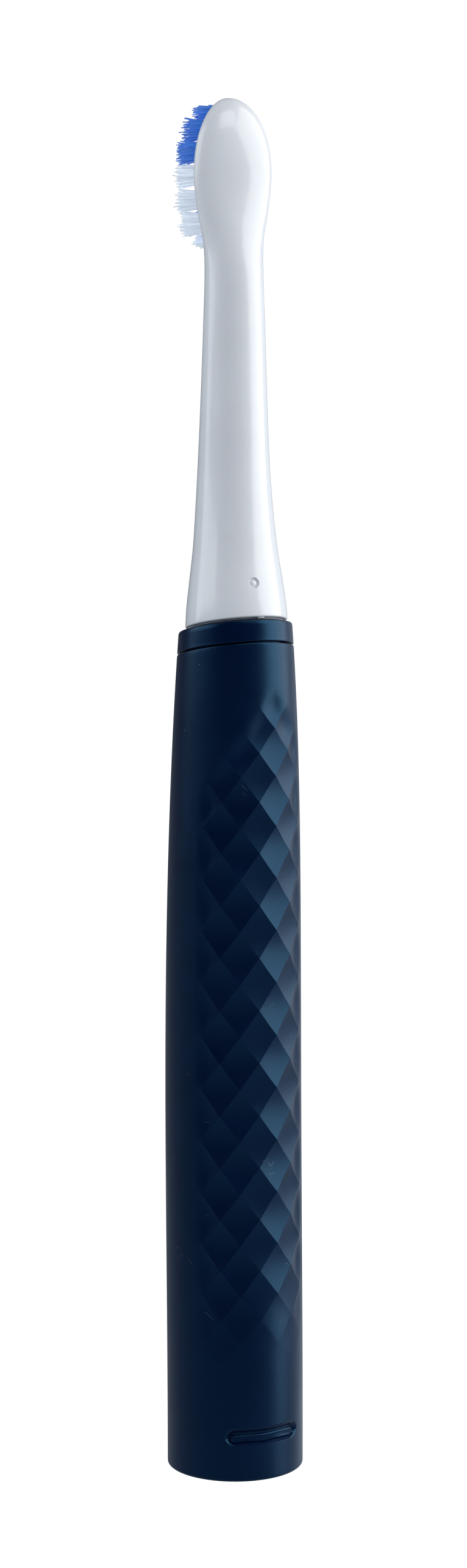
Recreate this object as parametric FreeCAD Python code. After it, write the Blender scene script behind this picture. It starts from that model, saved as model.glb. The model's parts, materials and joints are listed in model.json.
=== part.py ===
import FreeCAD, Part
import math
import os

# Electric toothbrush with a sonic drive: a pull-off brush head on a slim bowed handle.
# Millimetres. +Z up. The origin is on the handle's axis in the plane of its foot, at the mouth of the
# charger socket. The bristles, the button and the lamps face -Y. The grip pattern and the latch face +Y.

# ---------------------------------------------------------------- handle, outside
handle_height = 143.0      # from the foot to the seam under the collar, on the axis
foot_radius = 11.85
seam_radius = 9.95
taper_power = 4.8          # the higher it is, the later the handle narrows
bow_depth = 1.0            # how far the waist stands forward of the foot
seam_lean = 0.2            # how far the seam stands back of the foot
shell_wall = 1.7
foot_wall = 1.45           # around the cap; the step above it stops the cap
foot_round = 0.45
seam_slope = 12.8          # degrees, the planes of the seam, collar and head foot, high at the back
seam_gap = 0.5
collar_height = 3.45
collar_round = 0.45
collar_spigot_length = 2.7
collar_spigot_inset = 1.4  # from the outside of the seam to the spigot
gasket_thickness = 0.4
roof_thickness = 3.8       # from the floor of the collar's recess, on the axis, to the shell's ceiling

# ---------------------------------------------------------------- clearances
seat_gap = 0.05            # between pieces that seat in each other
slide_gap = 0.15           # around pieces that slide
running_gap = 0.03         # radial, bearings on the shaft
clip_gap = 0.05            # radial, the head's clip on the shaft
air_gap = 0.4              # magnets to poles
shell_gap = 0.25           # inner pieces to the shell

# ---------------------------------------------------------------- foot
cap_height = 13.0
cap_gap = 0.1              # radial, cap in the shell
cap_floor = 1.2
cap_skirt = 1.0
socket_radius = 4.6
socket_depth = 12.0
socket_wall = 1.0
ring_groove_z = 11.3       # middle of the sealing ring at the foot
ring_thickness = 1.16
ring_groove_width = 1.5
groove_depth = 1.1
latch_z = 7.5
latch_x = -0.8             # the bar stands a little to one side
latch_half_length = 6.0
latch_half_height = 0.7
latch_sink = 0.45          # from the shell's surface to the face of the latch bar
latch_plate_half_length = 6.8
latch_plate_half_height = 1.6
latch_plate_inset = 1.3    # from the shell's bore to the back of the latch plate
latch_travel = 0.6
latch_round = 0.2
recess_half_length = 6.9
recess_half_height = 1.5
recess_rise = 0.4           # from the bar's middle to the recess's middle
recess_depth = 0.9
latch_spring_thickness = 0.2
latch_spring_half_length = 3.6
latch_spring_half_height = 0.9
latch_room = 1.6           # from the cap's skirt to the coil former's flanges

# ---------------------------------------------------------------- charging coil
former_wall = 0.4
former_flange = 0.5
former_height = 8.2
ferrite_thickness = 0.8

# ---------------------------------------------------------------- battery
battery_radius = 7.0
battery_length = 49.0
sleeve_thickness = 0.25
pad_thickness = 2.0
tab_thickness = 0.15
tab_half_width = 2.5
contact_radius = 2.6
contact_height = 0.8

# ---------------------------------------------------------------- frame inside
chassis_floor = 1.5
chassis_start = 0.3        # above the cap
rail_inner_x = 7.4
rail_outer_x = 8.6
rail_front_y = -5.0
rail_back_y = -1.0
bulkhead_thickness = 3.0
bar_half_height = 1.5
lead_hole_radius = 1.2
lead_hole_y = 4.2          # behind the battery's middle
saddle_lap = 1.2           # under the motor's edge
saddle_height = 2.0
screw_radius = 0.7
screw_head_radius = 1.2
screw_head_height = 0.6
screw_length = 1.8

# ---------------------------------------------------------------- circuit board
board_thickness = 1.0
board_side_gap = 0.3       # from the board's corners to the shell
board_low_z = 26.0
board_above_button = 8.5
board_screw_x = 4.1
board_motor_gap = 0.1       # the board's back is milled away where the motor comes closer
low_screw_z = 30.0
chip_size = 4.0
chip_height = 0.9
switch_size = 3.2
switch_height = 1.2
plunger_radius = 0.8
plunger_height = 0.35
plunger_seat = 0.2         # inside the switch
lamp_count = 5
lamp_pitch = 4.0
lamp_height = 0.6

# ---------------------------------------------------------------- button and lens
button_below_seam = 39.0
button_radius = 4.2
button_thickness = 1.2
button_travel = 0.4
button_round = 0.25
membrane_thickness = 0.4
membrane_overlap = 1.2
membrane_gap = 0.12        # from the membrane to the plunger
lens_half_width = 1.3
lens_half_length = 9.6
lens_below_button = 24.0

# ---------------------------------------------------------------- motor
motor_radius = 7.0
motor_length = 36.0
motor_headroom = 5.0       # from the motor's nose to the shell's ceiling
can_wall = 0.5
end_plate_thickness = 2.0
bearing_radius = 3.4
bearing_length = 3.0
shaft_radius = 2.0
shaft_tail = 3.0           # below the motor
shaft_reach = 29.0         # above the top of the collar
flat_depth = 0.5           # flat on the shaft's end
flat_length = 11.0
hub_radius = 2.75
magnet_radius = 3.5
magnet_margin = 6.5        # from the motor's ends to the magnets
magnet_count = 4
pole_count = 4
pole_width = 2.2
stator_wall = 0.75
coil_thickness = 0.7
bobbin_thickness = 0.2
damper_height = 3.0
spring_width = 3.0
spring_thickness = 0.5
spring_length = 6.0        # free length of the torsion spring
spring_grip = 1.2          # held at each end
anchor_radius = 3.2
anchor_height = 2.5
lead_radius = 0.4
lead_inset = 2.85           # from the motor's outside
coil_lead_radius = 0.22
coil_lead_x = 1.0

# ---------------------------------------------------------------- shaft seal
seal_radius = 5.0
seal_bore = 3.2
seal_lip = 1.6
seal_flange = 1.5
seal_flange_radius = 6.4
seal_sink = 0.35           # from the top of the collar

# ---------------------------------------------------------------- brush head
head_gap = 0.6             # from the collar to the head
head_length = 88.4         # from the head's foot, on the axis, to its tip
clip_length = 12.0
clip_wall = 1.3
insert_radius = 7.15
insert_wall = 0.9
insert_flange = 0.3
insert_flange_radius = 7.8
insert_height = 4.9
insert_web = 1.3
throat_length = 15.5       # taper above the insert

# The head's outline: height above its foot, half width, half depth and how far forward it stands.
head_stations = [
    (-3.0, 8.85, 8.85, -0.60),
    (2.5, 8.57, 8.57, -0.55),
    (7.5, 7.95, 7.95, -0.33),
    (13.0, 7.20, 7.20, 0.05),
    (19.2, 6.64, 6.64, 0.45),
    (27.5, 6.11, 6.05, 0.68),
    (39.0, 5.64, 5.50, 0.60),
    (50.0, 5.30, 5.00, 0.50),
    (60.0, 5.03, 4.45, 0.60),
]
# The paddle is round-ended: its width follows an ellipse on both sides of its widest place.
paddle_height = 76.0       # from the head's foot to its widest place
paddle_half_width = 6.96
paddle_half_depth = 2.95
paddle_forward = 1.1
paddle_end_lean = 0.75      # share of the lost half depth by which the round end moves forward
paddle_neck = 65.0         # where the neck starts to widen
paddle_neck_half_width = 5.35
paddle_neck_half_depth = 3.75

# ---------------------------------------------------------------- bristles
bristle_face_y = -3.4
bristle_length = 10.4
ramp_drop = 2.2            # where the ramp below the bristles leaves the neck
tuft_depth = 2.0
tuft_gap = 0.03
anchor_blade_thickness = 0.25
anchor_blade_depth = 1.0
side_tuft_half_width = 0.85
core_tuft_radius = 0.8
core_pitch_x = 1.95
core_pitch_z = 2.15
core_rows = 8
core_start = 67.2          # above the head's foot

# Tufts as height above the head's foot, distance from the middle, half height and half width.
toe_tufts = [
    (86.2, 1.15, 1.10, 0.95),
    (83.25, 3.30, 1.60, side_tuft_half_width),
    (79.6, 4.25, 1.65, side_tuft_half_width),
]
side_tufts = [
    (75.6, 4.50, 1.67, side_tuft_half_width),
    (71.5, 4.35, 1.67, side_tuft_half_width),
    (67.6, 3.65, 1.75, side_tuft_half_width),
    (64.6, 1.20, 0.92, 0.90),
]

# ---------------------------------------------------------------- heights that follow
seam_z = handle_height
button_z = seam_z - button_below_seam
lens_z = button_z - lens_below_button
collar_foot_z = seam_z + seam_gap
collar_top_z = collar_foot_z + collar_height
head_foot_z = collar_top_z + head_gap
head_top_z = head_foot_z + head_length
spigot_foot_z = collar_foot_z - collar_spigot_length
recess_floor_z = spigot_foot_z - gasket_thickness - 2 * seat_gap
ceiling_z = recess_floor_z - roof_thickness
motor_top_z = ceiling_z - motor_headroom
motor_foot_z = motor_top_z - motor_length
shaft_foot_z = motor_foot_z - shaft_tail
shaft_top_z = collar_top_z + shaft_reach
anchor_top_z = shaft_foot_z - spring_length
anchor_foot_z = anchor_top_z - anchor_height
bulkhead_z = anchor_foot_z - bulkhead_thickness
chassis_z = cap_height + chassis_start
pad_z = chassis_z + chassis_floor
battery_foot_z = pad_z + pad_thickness + contact_height
battery_top_z = battery_foot_z + battery_length
board_top_z = button_z + board_above_button
lamp_low_z = lens_z - lamp_pitch * (lamp_count - 1) / 2

# ---------------------------------------------------------------- radii that follow
bore_radius = foot_radius - foot_wall
plug_radius = bore_radius - cap_gap
skirt_bore = plug_radius - cap_skirt
socket_tube_radius = socket_radius + socket_wall
former_bore = socket_tube_radius + slide_gap
former_flange_radius = skirt_bore - latch_room
former_radius = former_bore + former_wall
spigot_radius = seam_radius - collar_spigot_inset
stator_radius = motor_radius - can_wall - seat_gap
stator_bore = stator_radius - stator_wall
pole_radius = magnet_radius + air_gap
clip_bore = shaft_radius + clip_gap
clip_radius = clip_bore + clip_wall


# ---------------------------------------------------------------- plain shapes
def vector(x, y, z):
    return FreeCAD.Vector(x, y, z)


def rod(radius, low, high, x=0.0, y=0.0):
    """Upright cylinder."""
    return Part.makeCylinder(radius, high - low, vector(x, y, low))


def tube(outer, inner, low, high, x=0.0, y=0.0):
    """Upright tube."""
    return rod(outer, low, high, x, y).cut(rod(inner, low - 1, high + 1, x, y))


def rod_y(radius, front, back, x, z):
    """Cylinder that lies along Y."""
    return Part.makeCylinder(radius, back - front, vector(x, front, z), vector(0, 1, 0))


def block(x_range, y_range, z_range):
    """Box between two values on each axis."""
    size = [high - low for low, high in (x_range, y_range, z_range)]
    return Part.makeBox(*size, vector(x_range[0], y_range[0], z_range[0]))


def slot_y(half_width, half_height, front, back, x, z):
    """Round-ended bar that lies along Y. The longer half size gives the way it is drawn out."""
    radius = min(half_width, half_height)
    reach_x = half_width - radius
    reach_z = half_height - radius
    bar = rod_y(radius, front, back, x - reach_x, z - reach_z)
    if reach_x + reach_z > 0:
        bar = bar.fuse(rod_y(radius, front, back, x + reach_x, z + reach_z))
        across_x = reach_x if reach_x > 0 else radius
        across_z = reach_z if reach_z > 0 else radius
        bar = bar.fuse(block((x - across_x, x + across_x), (front, back), (z - across_z, z + across_z)))
    return bar.removeSplitter()


def turned(shape, degrees):
    """Copy of a shape, turned about the handle's axis."""
    copy = shape.copy()
    copy.rotate(vector(0, 0, 0), vector(0, 0, 1), degrees)
    return copy


def ring(major, thickness, z):
    """Sealing ring of round section."""
    return Part.makeTorus(major, thickness / 2, vector(0, 0, z))


def slope_space(z, upwards):
    """Everything above, or below, the sloping plane that crosses the axis at a height."""
    reach = 60.0
    depth = 400.0
    low = 0.0 if upwards else -depth
    space = block((-reach, reach), (-reach, reach), (low, low + depth))
    space.rotate(vector(0, 0, 0), vector(1, 0, 0), seam_slope)
    space.translate(vector(0, 0, z))
    return space


def between_slopes(shape, low, high):
    """The part of a shape between two sloping planes."""
    return shape.common(slope_space(low, True)).common(slope_space(high, False))


# ---------------------------------------------------------------- the handle's outline
def handle_radius(z):
    share = max(z, 0.0) / handle_height
    return foot_radius - (foot_radius - seam_radius) * share ** taper_power


def handle_centre(z):
    share = z / handle_height
    return seam_lean * share - bow_depth * math.sin(math.pi * 0.953 * share) ** 2


button_wall_y = handle_centre(button_z) - handle_radius(button_z) + shell_wall
plunger_tip_y = button_wall_y + seat_gap / 2 + membrane_thickness + membrane_gap
board_front_y = plunger_tip_y + plunger_height + switch_height + seat_gap / 2
board_back_y = board_front_y + board_thickness
board_half_width = math.sqrt((handle_radius(board_top_z) - shell_wall) ** 2
                             - (board_front_y - handle_centre(board_top_z)) ** 2) - board_side_gap
battery_back_y = handle_centre(battery_top_z) + handle_radius(battery_top_z) - shell_wall - shell_gap
battery_y = battery_back_y - sleeve_thickness - battery_radius


def handle_body(inset, low, high):
    """The handle's outline from one height to another, drawn in by an inset."""
    count = 9
    rings = []
    for index in range(count):
        z = low + (high - low) * index / (count - 1)
        circle = Part.makeCircle(handle_radius(z) - inset, vector(0, handle_centre(z), z))
        rings.append(Part.Wire(circle))
    return Part.makeLoft(rings, True, False)


def cavity(gap, low, high):
    """Room inside the shell, less a gap."""
    return handle_body(shell_wall + gap, low, high)


def wall_patch(cutter, outer_inset, inner_inset, z):
    """Piece of a curved wall that a cutter through the front picks out."""
    reach = 22.0
    low = max(z - reach, 1.0)
    high = z + reach
    wall = handle_body(outer_inset, low, high).cut(handle_body(inner_inset, low - 1, high + 1))
    return wall.common(cutter)


# ---------------------------------------------------------------- shell, collar and foot
def latch_recess():
    dish = slot_y(recess_half_length, recess_half_height, 0, foot_radius + 2, latch_x, latch_z + recess_rise)
    return dish.cut(rod(foot_radius - recess_depth, 0, cap_height))


def latch_window():
    half_width = latch_half_length + slide_gap
    half_height = latch_half_height + slide_gap
    return slot_y(half_width, half_height, 0, foot_radius + 2, latch_x, latch_z)


def button_hole():
    return rod_y(button_radius, -foot_radius - 4, 0, 0, button_z)


def lens_hole():
    return slot_y(lens_half_width, lens_half_length, -foot_radius - 4, 0, 0, lens_z)


def handle_shell():
    body = handle_body(0, 0, collar_top_z + 6)
    foot = [edge for edge in body.Edges if edge.BoundBox.ZMax < 0.01]
    body = body.makeFillet(foot_round, foot)
    body = body.common(slope_space(seam_z, False))
    body = body.cut(cavity(0, cap_height - 1, ceiling_z))
    body = body.cut(rod(bore_radius, -1, cap_height + seat_gap))
    body = body.cut(rod(spigot_radius + seat_gap, recess_floor_z - 9, seam_z + 9).common(
        slope_space(recess_floor_z, True)))
    body = body.cut(rod(seal_radius + seat_gap, ceiling_z - 1, seam_z + 9))
    for opening in (latch_recess(), latch_window(), button_hole(), lens_hole()):
        body = body.cut(opening)
    return body


def collar_ring():
    outline = handle_body(0, seam_z - 9, collar_top_z + 9)
    crown = between_slopes(outline, collar_foot_z, collar_top_z)
    rim = [edge for edge in crown.Edges if edge.CenterOfMass.z > (collar_foot_z + collar_top_z) / 2]
    crown = crown.makeFillet(collar_round, [edge for edge in rim if edge.Length > 3 * seam_radius])
    spigot = between_slopes(rod(spigot_radius, seam_z - 12, seam_z + 12), spigot_foot_z, collar_foot_z)
    return crown.fuse(spigot).cut(rod(seal_radius + seat_gap, seam_z - 15, collar_top_z + 9)).removeSplitter()


def collar_gasket():
    low = recess_floor_z + seat_gap
    washer = tube(spigot_radius, seal_radius + seat_gap, low - 9, low + 9)
    return between_slopes(washer, low, low + gasket_thickness)


def shaft_seal():
    top = collar_top_z - seal_sink
    sleeve = rod(seal_radius, ceiling_z - seal_flange, top + 9)
    sleeve = sleeve.common(slope_space(top, False))
    sleeve = sleeve.fuse(rod(seal_flange_radius, ceiling_z - seal_flange, ceiling_z - seat_gap))
    lip_z = top - seal_lip - seal_radius * math.tan(math.radians(seam_slope))
    sleeve = sleeve.cut(rod(seal_bore, ceiling_z - seal_flange - 1, lip_z))
    return sleeve.cut(rod(shaft_radius + clip_gap, ceiling_z - 9, top + 9))


def latch_pocket():
    """Room in the cap's skirt for the latch plate."""
    half_height = latch_plate_half_height + slide_gap
    half_length = latch_plate_half_length + 2 * slide_gap
    z_range = (latch_z - half_height, latch_z + half_height)
    room = block((latch_x - half_length, latch_x + half_length), (0, foot_radius), z_range)
    return room.cut(rod(skirt_bore - 0.2, 0, cap_height))


def spring_posts():
    """Two posts on the cap's floor that the latch spring's ends lean on."""
    high_y = latch_spring_ends_y() - latch_spring_thickness / 2 - seat_gap / 2
    posts = []
    for side in (-1, 1):
        x = side * latch_spring_half_length
        z_range = (cap_floor - 0.1, latch_z + latch_spring_half_height)
        post = block((x - 0.4, x + 0.4), (high_y - 0.6, high_y), z_range)
        posts.append(post.cut(rod(former_flange_radius + seat_gap, 0, cap_height)))
    return posts


def latch_spring_ends_y():
    plate_bore = bore_radius - latch_plate_inset
    return math.sqrt(plate_bore ** 2 - (latch_spring_half_length + 0.4) ** 2) - latch_travel


def base_cap():
    cap = rod(plug_radius, 0, cap_height)
    land_z = ring_groove_z - ring_groove_width
    cap = cap.cut(tube(skirt_bore, socket_tube_radius, cap_floor, land_z))
    land_bore = plug_radius - groove_depth - cap_skirt + 0.1
    cap = cap.cut(tube(land_bore, socket_tube_radius, land_z - 0.1, cap_height + 1))
    half_groove = ring_groove_width / 2
    groove = tube(plug_radius + 1, plug_radius - groove_depth, ring_groove_z - half_groove,
                  ring_groove_z + half_groove)
    cap = cap.cut(groove)
    cap = cap.cut(latch_pocket())
    for post in spring_posts():
        cap = cap.fuse(post)
    return cap.cut(rod(socket_radius, -1, socket_depth))


def base_o_ring():
    return ring(plug_radius - groove_depth + ring_thickness / 2 + 0.02, ring_thickness, ring_groove_z)


def base_latch():
    outer = foot_radius - latch_sink
    inner = bore_radius - latch_plate_inset
    bar = slot_y(latch_half_length, latch_half_height, 0, foot_radius, latch_x, latch_z)
    bar = bar.common(tube(outer, inner, 0, cap_height))
    face = [edge for edge in bar.Edges if math.hypot(edge.CenterOfMass.x, edge.CenterOfMass.y) > outer - 0.9]
    bar = bar.makeFillet(latch_round, [edge for edge in face if on_cylinder(edge, outer)])
    plate = block((latch_x - latch_plate_half_length, latch_x + latch_plate_half_length), (0, foot_radius),
                  (latch_z - latch_plate_half_height, latch_z + latch_plate_half_height))
    plate = plate.common(tube(bore_radius - slide_gap, inner, 0, cap_height))
    return bar.fuse(plate).removeSplitter()


def on_cylinder(edge, radius):
    """True when an edge lies on an upright cylinder about the axis."""
    first, last = edge.ParameterRange
    points = [edge.valueAt(first + (last - first) * share) for share in (0.1, 0.5, 0.9)]
    return all(abs(math.hypot(point.x, point.y) - radius) < 0.01 for point in points)


def latch_spring():
    """Bowed leaf between the latch and the two posts."""
    end_y = latch_spring_ends_y()
    crown_y = bore_radius - latch_plate_inset - latch_spring_thickness / 2 - seat_gap
    half = latch_spring_thickness / 2
    reach = latch_spring_half_length
    low = latch_z - latch_spring_half_height
    outer = Part.Arc(vector(-reach, end_y + half, low), vector(0, crown_y + half, low),
                     vector(reach, end_y + half, low)).toShape()
    inner = Part.Arc(vector(-reach, end_y - half, low), vector(0, crown_y - half, low),
                     vector(reach, end_y - half, low)).toShape()
    sides = [Part.makeLine(vector(side * reach, end_y - half, low), vector(side * reach, end_y + half, low))
             for side in (-1, 1)]
    face = Part.Face(Part.Wire([outer, sides[1], inner, sides[0]]))
    return face.extrude(vector(0, 0, 2 * latch_spring_half_height))


# ---------------------------------------------------------------- charging
def coil_former():
    low = cap_floor + seat_gap
    high = low + former_height
    former = tube(former_radius, former_bore, low, high)
    for z in (low, high - former_flange):
        former = former.fuse(tube(former_flange_radius, former_bore, z, z + former_flange))
    return former.removeSplitter()


def charge_coil():
    low = cap_floor + former_flange + 2 * seat_gap
    high = cap_floor + former_height - former_flange
    return tube(former_flange_radius - 0.2, former_radius + seat_gap / 2, low, high)


def coil_ferrite():
    low = cap_floor + former_height + 2 * seat_gap
    return tube(former_flange_radius, former_bore, low, low + ferrite_thickness)


# ---------------------------------------------------------------- battery
def battery_cell():
    cell = rod(battery_radius, battery_foot_z, battery_top_z, 0, battery_y)
    edges = [edge for edge in cell.Edges if abs(edge.BoundBox.ZMax - edge.BoundBox.ZMin) < 0.01]
    cell = cell.makeFillet(0.5, edges)
    return cell.fuse(rod(contact_radius, battery_top_z - 0.1, battery_top_z + contact_height, 0, battery_y))


def battery_sleeve():
    bore = battery_radius + 0.02
    return tube(bore + sleeve_thickness, bore, battery_foot_z + 0.6, battery_top_z - 0.6, 0, battery_y)


def battery_tabs():
    """Nickel strips on both ends, bent forward to the board."""
    front = battery_y - battery_radius - sleeve_thickness - 0.6
    half = tab_half_width
    low = battery_foot_z - tab_thickness - 0.02
    strip = block((-half, half), (front, battery_y + half), (low, low + tab_thickness))
    drop = block((-half, half), (front, front + tab_thickness), (low, low + 8))
    high = battery_top_z + contact_height + 0.02
    strip_top = block((-half, half), (front, battery_y + half), (high, high + tab_thickness))
    drop_top = block((-half, half), (front, front + tab_thickness), (high - 6, high + tab_thickness))
    return [strip.fuse(drop).removeSplitter(), strip_top.fuse(drop_top).removeSplitter()]


def battery_pad():
    return rod(battery_radius - 1.0, pad_z + seat_gap, pad_z + pad_thickness, 0, battery_y)


# ---------------------------------------------------------------- frame and board
def screw_places():
    return [(side * board_screw_x, z) for z in (low_screw_z, bulkhead_z + bulkhead_thickness / 2)
            for side in (-1, 1)]


def chassis():
    deck = foot_radius
    whole = ((-deck, deck), (-deck, deck))
    frame = block(*whole, (chassis_z, chassis_z + chassis_floor))
    frame = frame.fuse(block(*whole, (bulkhead_z, bulkhead_z + bulkhead_thickness)))
    for side in (-1, 1):
        x_range = sorted((side * rail_inner_x, side * rail_outer_x))
        frame = frame.fuse(block(x_range, (rail_front_y, rail_back_y), (chassis_z, motor_foot_z)))
    bar_z = (low_screw_z - bar_half_height, low_screw_z + bar_half_height)
    frame = frame.fuse(block((-deck, deck), (board_back_y + seat_gap, rail_back_y), bar_z))
    top = motor_foot_z - seat_gap
    saddle = tube(deck, motor_radius - saddle_lap, top - saddle_height, top)
    frame = frame.fuse(saddle)
    frame = frame.common(cavity(shell_gap, chassis_z - 1, motor_top_z))
    frame = frame.cut(block((-deck, deck), (-deck - 4, board_back_y + seat_gap), (board_low_z, motor_top_z)))
    clear = battery_radius + sleeve_thickness + 2 * seat_gap
    frame = frame.cut(rod(clear, pad_z, bulkhead_z, 0, battery_y))
    lead_slot = (-former_flange_radius - 1.0, -former_flange_radius + 0.3)
    frame = frame.cut(block((-coil_lead_x - 0.6, coil_lead_x + 0.6), lead_slot, (chassis_z - 1, pad_z + 1)))
    frame = frame.cut(rod(lead_hole_radius, bulkhead_z - 1, motor_foot_z, 0, battery_y + lead_hole_y))
    frame = frame.cut(block((-tab_half_width - 0.3, tab_half_width + 0.3),
                            (board_front_y, battery_y), (pad_z, bulkhead_z)))
    for x, z in screw_places():
        frame = frame.cut(rod_y(screw_radius + seat_gap, board_back_y - 1,
                                board_back_y + screw_length + 0.2, x, z))
    return frame


def circuit_board():
    board = block((-board_half_width, board_half_width), (board_front_y, board_back_y),
                  (board_low_z, board_top_z))
    for x, z in screw_places():
        board = board.cut(rod_y(screw_radius + seat_gap, board_front_y - 1, board_back_y + 1, x, z))
    return board.cut(rod(motor_radius + board_motor_gap, motor_foot_z - board_motor_gap, board_top_z + 1))


def board_screws():
    screws = []
    for x, z in screw_places():
        head = rod_y(screw_head_radius, board_front_y - seat_gap - screw_head_height,
                     board_front_y - seat_gap, x, z)
        shank = rod_y(screw_radius, board_front_y - seat_gap, board_back_y + screw_length, x, z)
        slot = block((x - 0.9, x + 0.9), (board_front_y - 1, board_front_y - seat_gap - 0.35),
                     (z - 0.15, z + 0.15))
        screws.append(head.fuse(shank).cut(slot).removeSplitter())
    return screws


def on_board(x, z, half_width, half_height, thickness):
    """Block that sits on the front of the board."""
    front = board_front_y - seat_gap / 2
    return block((x - half_width, x + half_width), (front - thickness, front),
                 (z - half_height, z + half_height))


def microcontroller():
    z = (low_screw_z + lamp_low_z) / 2
    body = on_board(0, z, chip_size / 2, chip_size / 2, chip_height)
    return body.makeChamfer(0.15, [edge for edge in body.Edges
                                   if edge.BoundBox.YMax < board_front_y - chip_height + 0.1])


def board_parts():
    """Capacitors, resistors and a transistor."""
    parts = []
    for index in range(4):
        z = low_screw_z + 6.0 + 3.0 * index
        for side in (-1, 1):
            parts.append(on_board(side * 3.6, z, 0.8, 0.45, 0.5))
    driver_z = button_z - switch_size - 4.8
    parts.append(on_board(0, driver_z, 1.5, 0.8, 0.9))
    for side in (-1, 1):
        parts.append(on_board(side * 3.2, driver_z, 0.45, 0.8, 0.5))
    return parts


def indicator_leds():
    return [on_board(0, lamp_low_z + lamp_pitch * index, 0.8, 0.4, lamp_height)
            for index in range(lamp_count)]


def button_switch():
    body = on_board(0, button_z, switch_size / 2, switch_size / 2, switch_height)
    front = board_front_y - seat_gap / 2 - switch_height
    depth = plunger_seat + button_travel + slide_gap
    return body.cut(rod_y(plunger_radius + seat_gap, front - 1, front + depth, 0, button_z))


# ---------------------------------------------------------------- button and lens
def power_button():
    cutter = rod_y(button_radius - slide_gap, -foot_radius - 4, 0, 0, button_z)
    cap = wall_patch(cutter, 0, button_thickness, button_z)
    outer = [edge for edge in cap.Edges if edge.BoundBox.YMin < -handle_radius(button_z) + 0.3]
    rim = min(outer, key=lambda edge: edge.BoundBox.YMin)
    return cap.makeFillet(button_round, [rim])


def switch_plunger():
    front = board_front_y - seat_gap / 2 - switch_height
    return rod_y(plunger_radius, front - plunger_height, front + plunger_seat, 0, button_z)


def button_membrane():
    cutter = rod_y(button_radius + membrane_overlap, -foot_radius - 4, 0, 0, button_z)
    inner = shell_wall + seat_gap / 2
    return wall_patch(cutter, inner, inner + membrane_thickness, button_z)


def indicator_lens():
    half_width = lens_half_width - seat_gap
    half_length = lens_half_length - seat_gap
    cutter = slot_y(half_width, half_length, -foot_radius - 4, 0, 0, lens_z)
    return wall_patch(cutter, 0, shell_wall, lens_z)


# ---------------------------------------------------------------- motor
def drive_shaft():
    shaft = rod(shaft_radius, shaft_foot_z, shaft_top_z)
    shaft = shaft.makeChamfer(0.4, [edge for edge in shaft.Edges if edge.BoundBox.ZMin > shaft_top_z - 0.01])
    flat = block((-5, 5), (shaft_radius - flat_depth, 5), (shaft_top_z - flat_length, shaft_top_z + 1))
    shaft = shaft.cut(flat)
    half = spring_thickness / 2 + seat_gap
    slot = block((-5, 5), (-half, half), (shaft_foot_z - 1, shaft_foot_z + spring_grip + 0.2))
    return shaft.cut(slot)


def magnet_z():
    return (motor_foot_z + magnet_margin, motor_top_z - magnet_margin)


def rotor_hub():
    low, high = magnet_z()
    return tube(hub_radius, shaft_radius, low - 1, high + 1)


def rotor_magnets():
    """Four magnets, with gaps between them, around the hub."""
    low, high = magnet_z()
    sleeve = tube(magnet_radius, hub_radius + 0.01, low, high)
    span = 2 * magnet_radius
    magnets = []
    for index in range(magnet_count):
        corner = block((0.2, span), (0.2, span), (low - 1, high + 1))
        magnets.append(sleeve.common(turned(corner, 360.0 * index / magnet_count)))
    return magnets


def motor_housing():
    """Can with a closed nose."""
    low = motor_foot_z + end_plate_thickness + seat_gap
    can = tube(motor_radius, motor_radius - can_wall, low, motor_top_z)
    nose = tube(motor_radius, bearing_radius + seat_gap / 2, motor_top_z - 1.0, motor_top_z)
    can = can.fuse(nose).removeSplitter()
    outer = [edge for edge in can.Edges if edge.BoundBox.ZMin > motor_top_z - 0.01
             and edge.BoundBox.XMax > motor_radius - 0.1]
    return can.makeFillet(0.4, outer)


def motor_end_plate():
    plate = rod(motor_radius, motor_foot_z, motor_foot_z + end_plate_thickness)
    return plate.cut(rod(bearing_radius + seat_gap / 2, motor_foot_z - 1, motor_foot_z + 9))


def bearing(low):
    sleeve = tube(bearing_radius, shaft_radius + running_gap, low, low + bearing_length)
    outer = [edge for edge in sleeve.Edges if edge.BoundBox.XMax > bearing_radius - 0.01
             and edge.BoundBox.ZLength < 0.01]
    return sleeve.makeChamfer(0.25, outer)


def front_bearing():
    return bearing(motor_top_z - bearing_length + 0.8)


def rear_bearing():
    return bearing(motor_foot_z - 0.5)


def core_z():
    low, high = magnet_z()
    return (low + 1.0, high - 1.0)


def pole_y():
    """From the pole's tip to the inside of the stator's ring."""
    return (pole_radius, stator_bore + 0.2)


def coil_y():
    """Radial room for a coil that clears the stator's round wall."""
    half = pole_width / 2 + bobbin_thickness + coil_thickness
    return (pole_radius + 0.25, math.sqrt((stator_bore - seat_gap) ** 2 - half ** 2))


def stator_core():
    low, high = core_z()
    core = tube(stator_radius, stator_bore, low, high)
    half = pole_width / 2
    pole = block((-half, half), pole_y(), (low, high)).cut(rod(pole_radius, low - 1, high + 1))
    for index in range(pole_count):
        core = core.fuse(turned(pole, 360.0 * index / pole_count))
    return core.removeSplitter()


def around_pole(inner, outer):
    """Rectangular rings around the four poles, between two distances from each pole."""
    low, high = core_z()
    half = pole_width / 2
    body = block((-half - outer, half + outer), coil_y(), (low - outer, high + outer))
    hole = block((-half - inner, half + inner), (0, motor_radius), (low - inner, high + inner))
    body = body.cut(hole)
    return [turned(body, 360.0 * index / pole_count) for index in range(pole_count)]


def stator_bobbins():
    return around_pole(0.02, bobbin_thickness)


def stator_coils():
    return around_pole(bobbin_thickness + 0.02, bobbin_thickness + coil_thickness)


def damper(low):
    high = low + damper_height
    radius = handle_radius(high) - shell_wall - shell_gap - abs(handle_centre(low))
    return tube(radius, motor_radius + seat_gap, low, high)


def front_damper():
    return damper(motor_top_z - damper_height - 1.0)


def rear_damper():
    body = damper(motor_foot_z + 1.0)
    reach = foot_radius
    return body.cut(block((-reach, reach), (-reach, board_back_y + seat_gap), (0, motor_top_z)))


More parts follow.
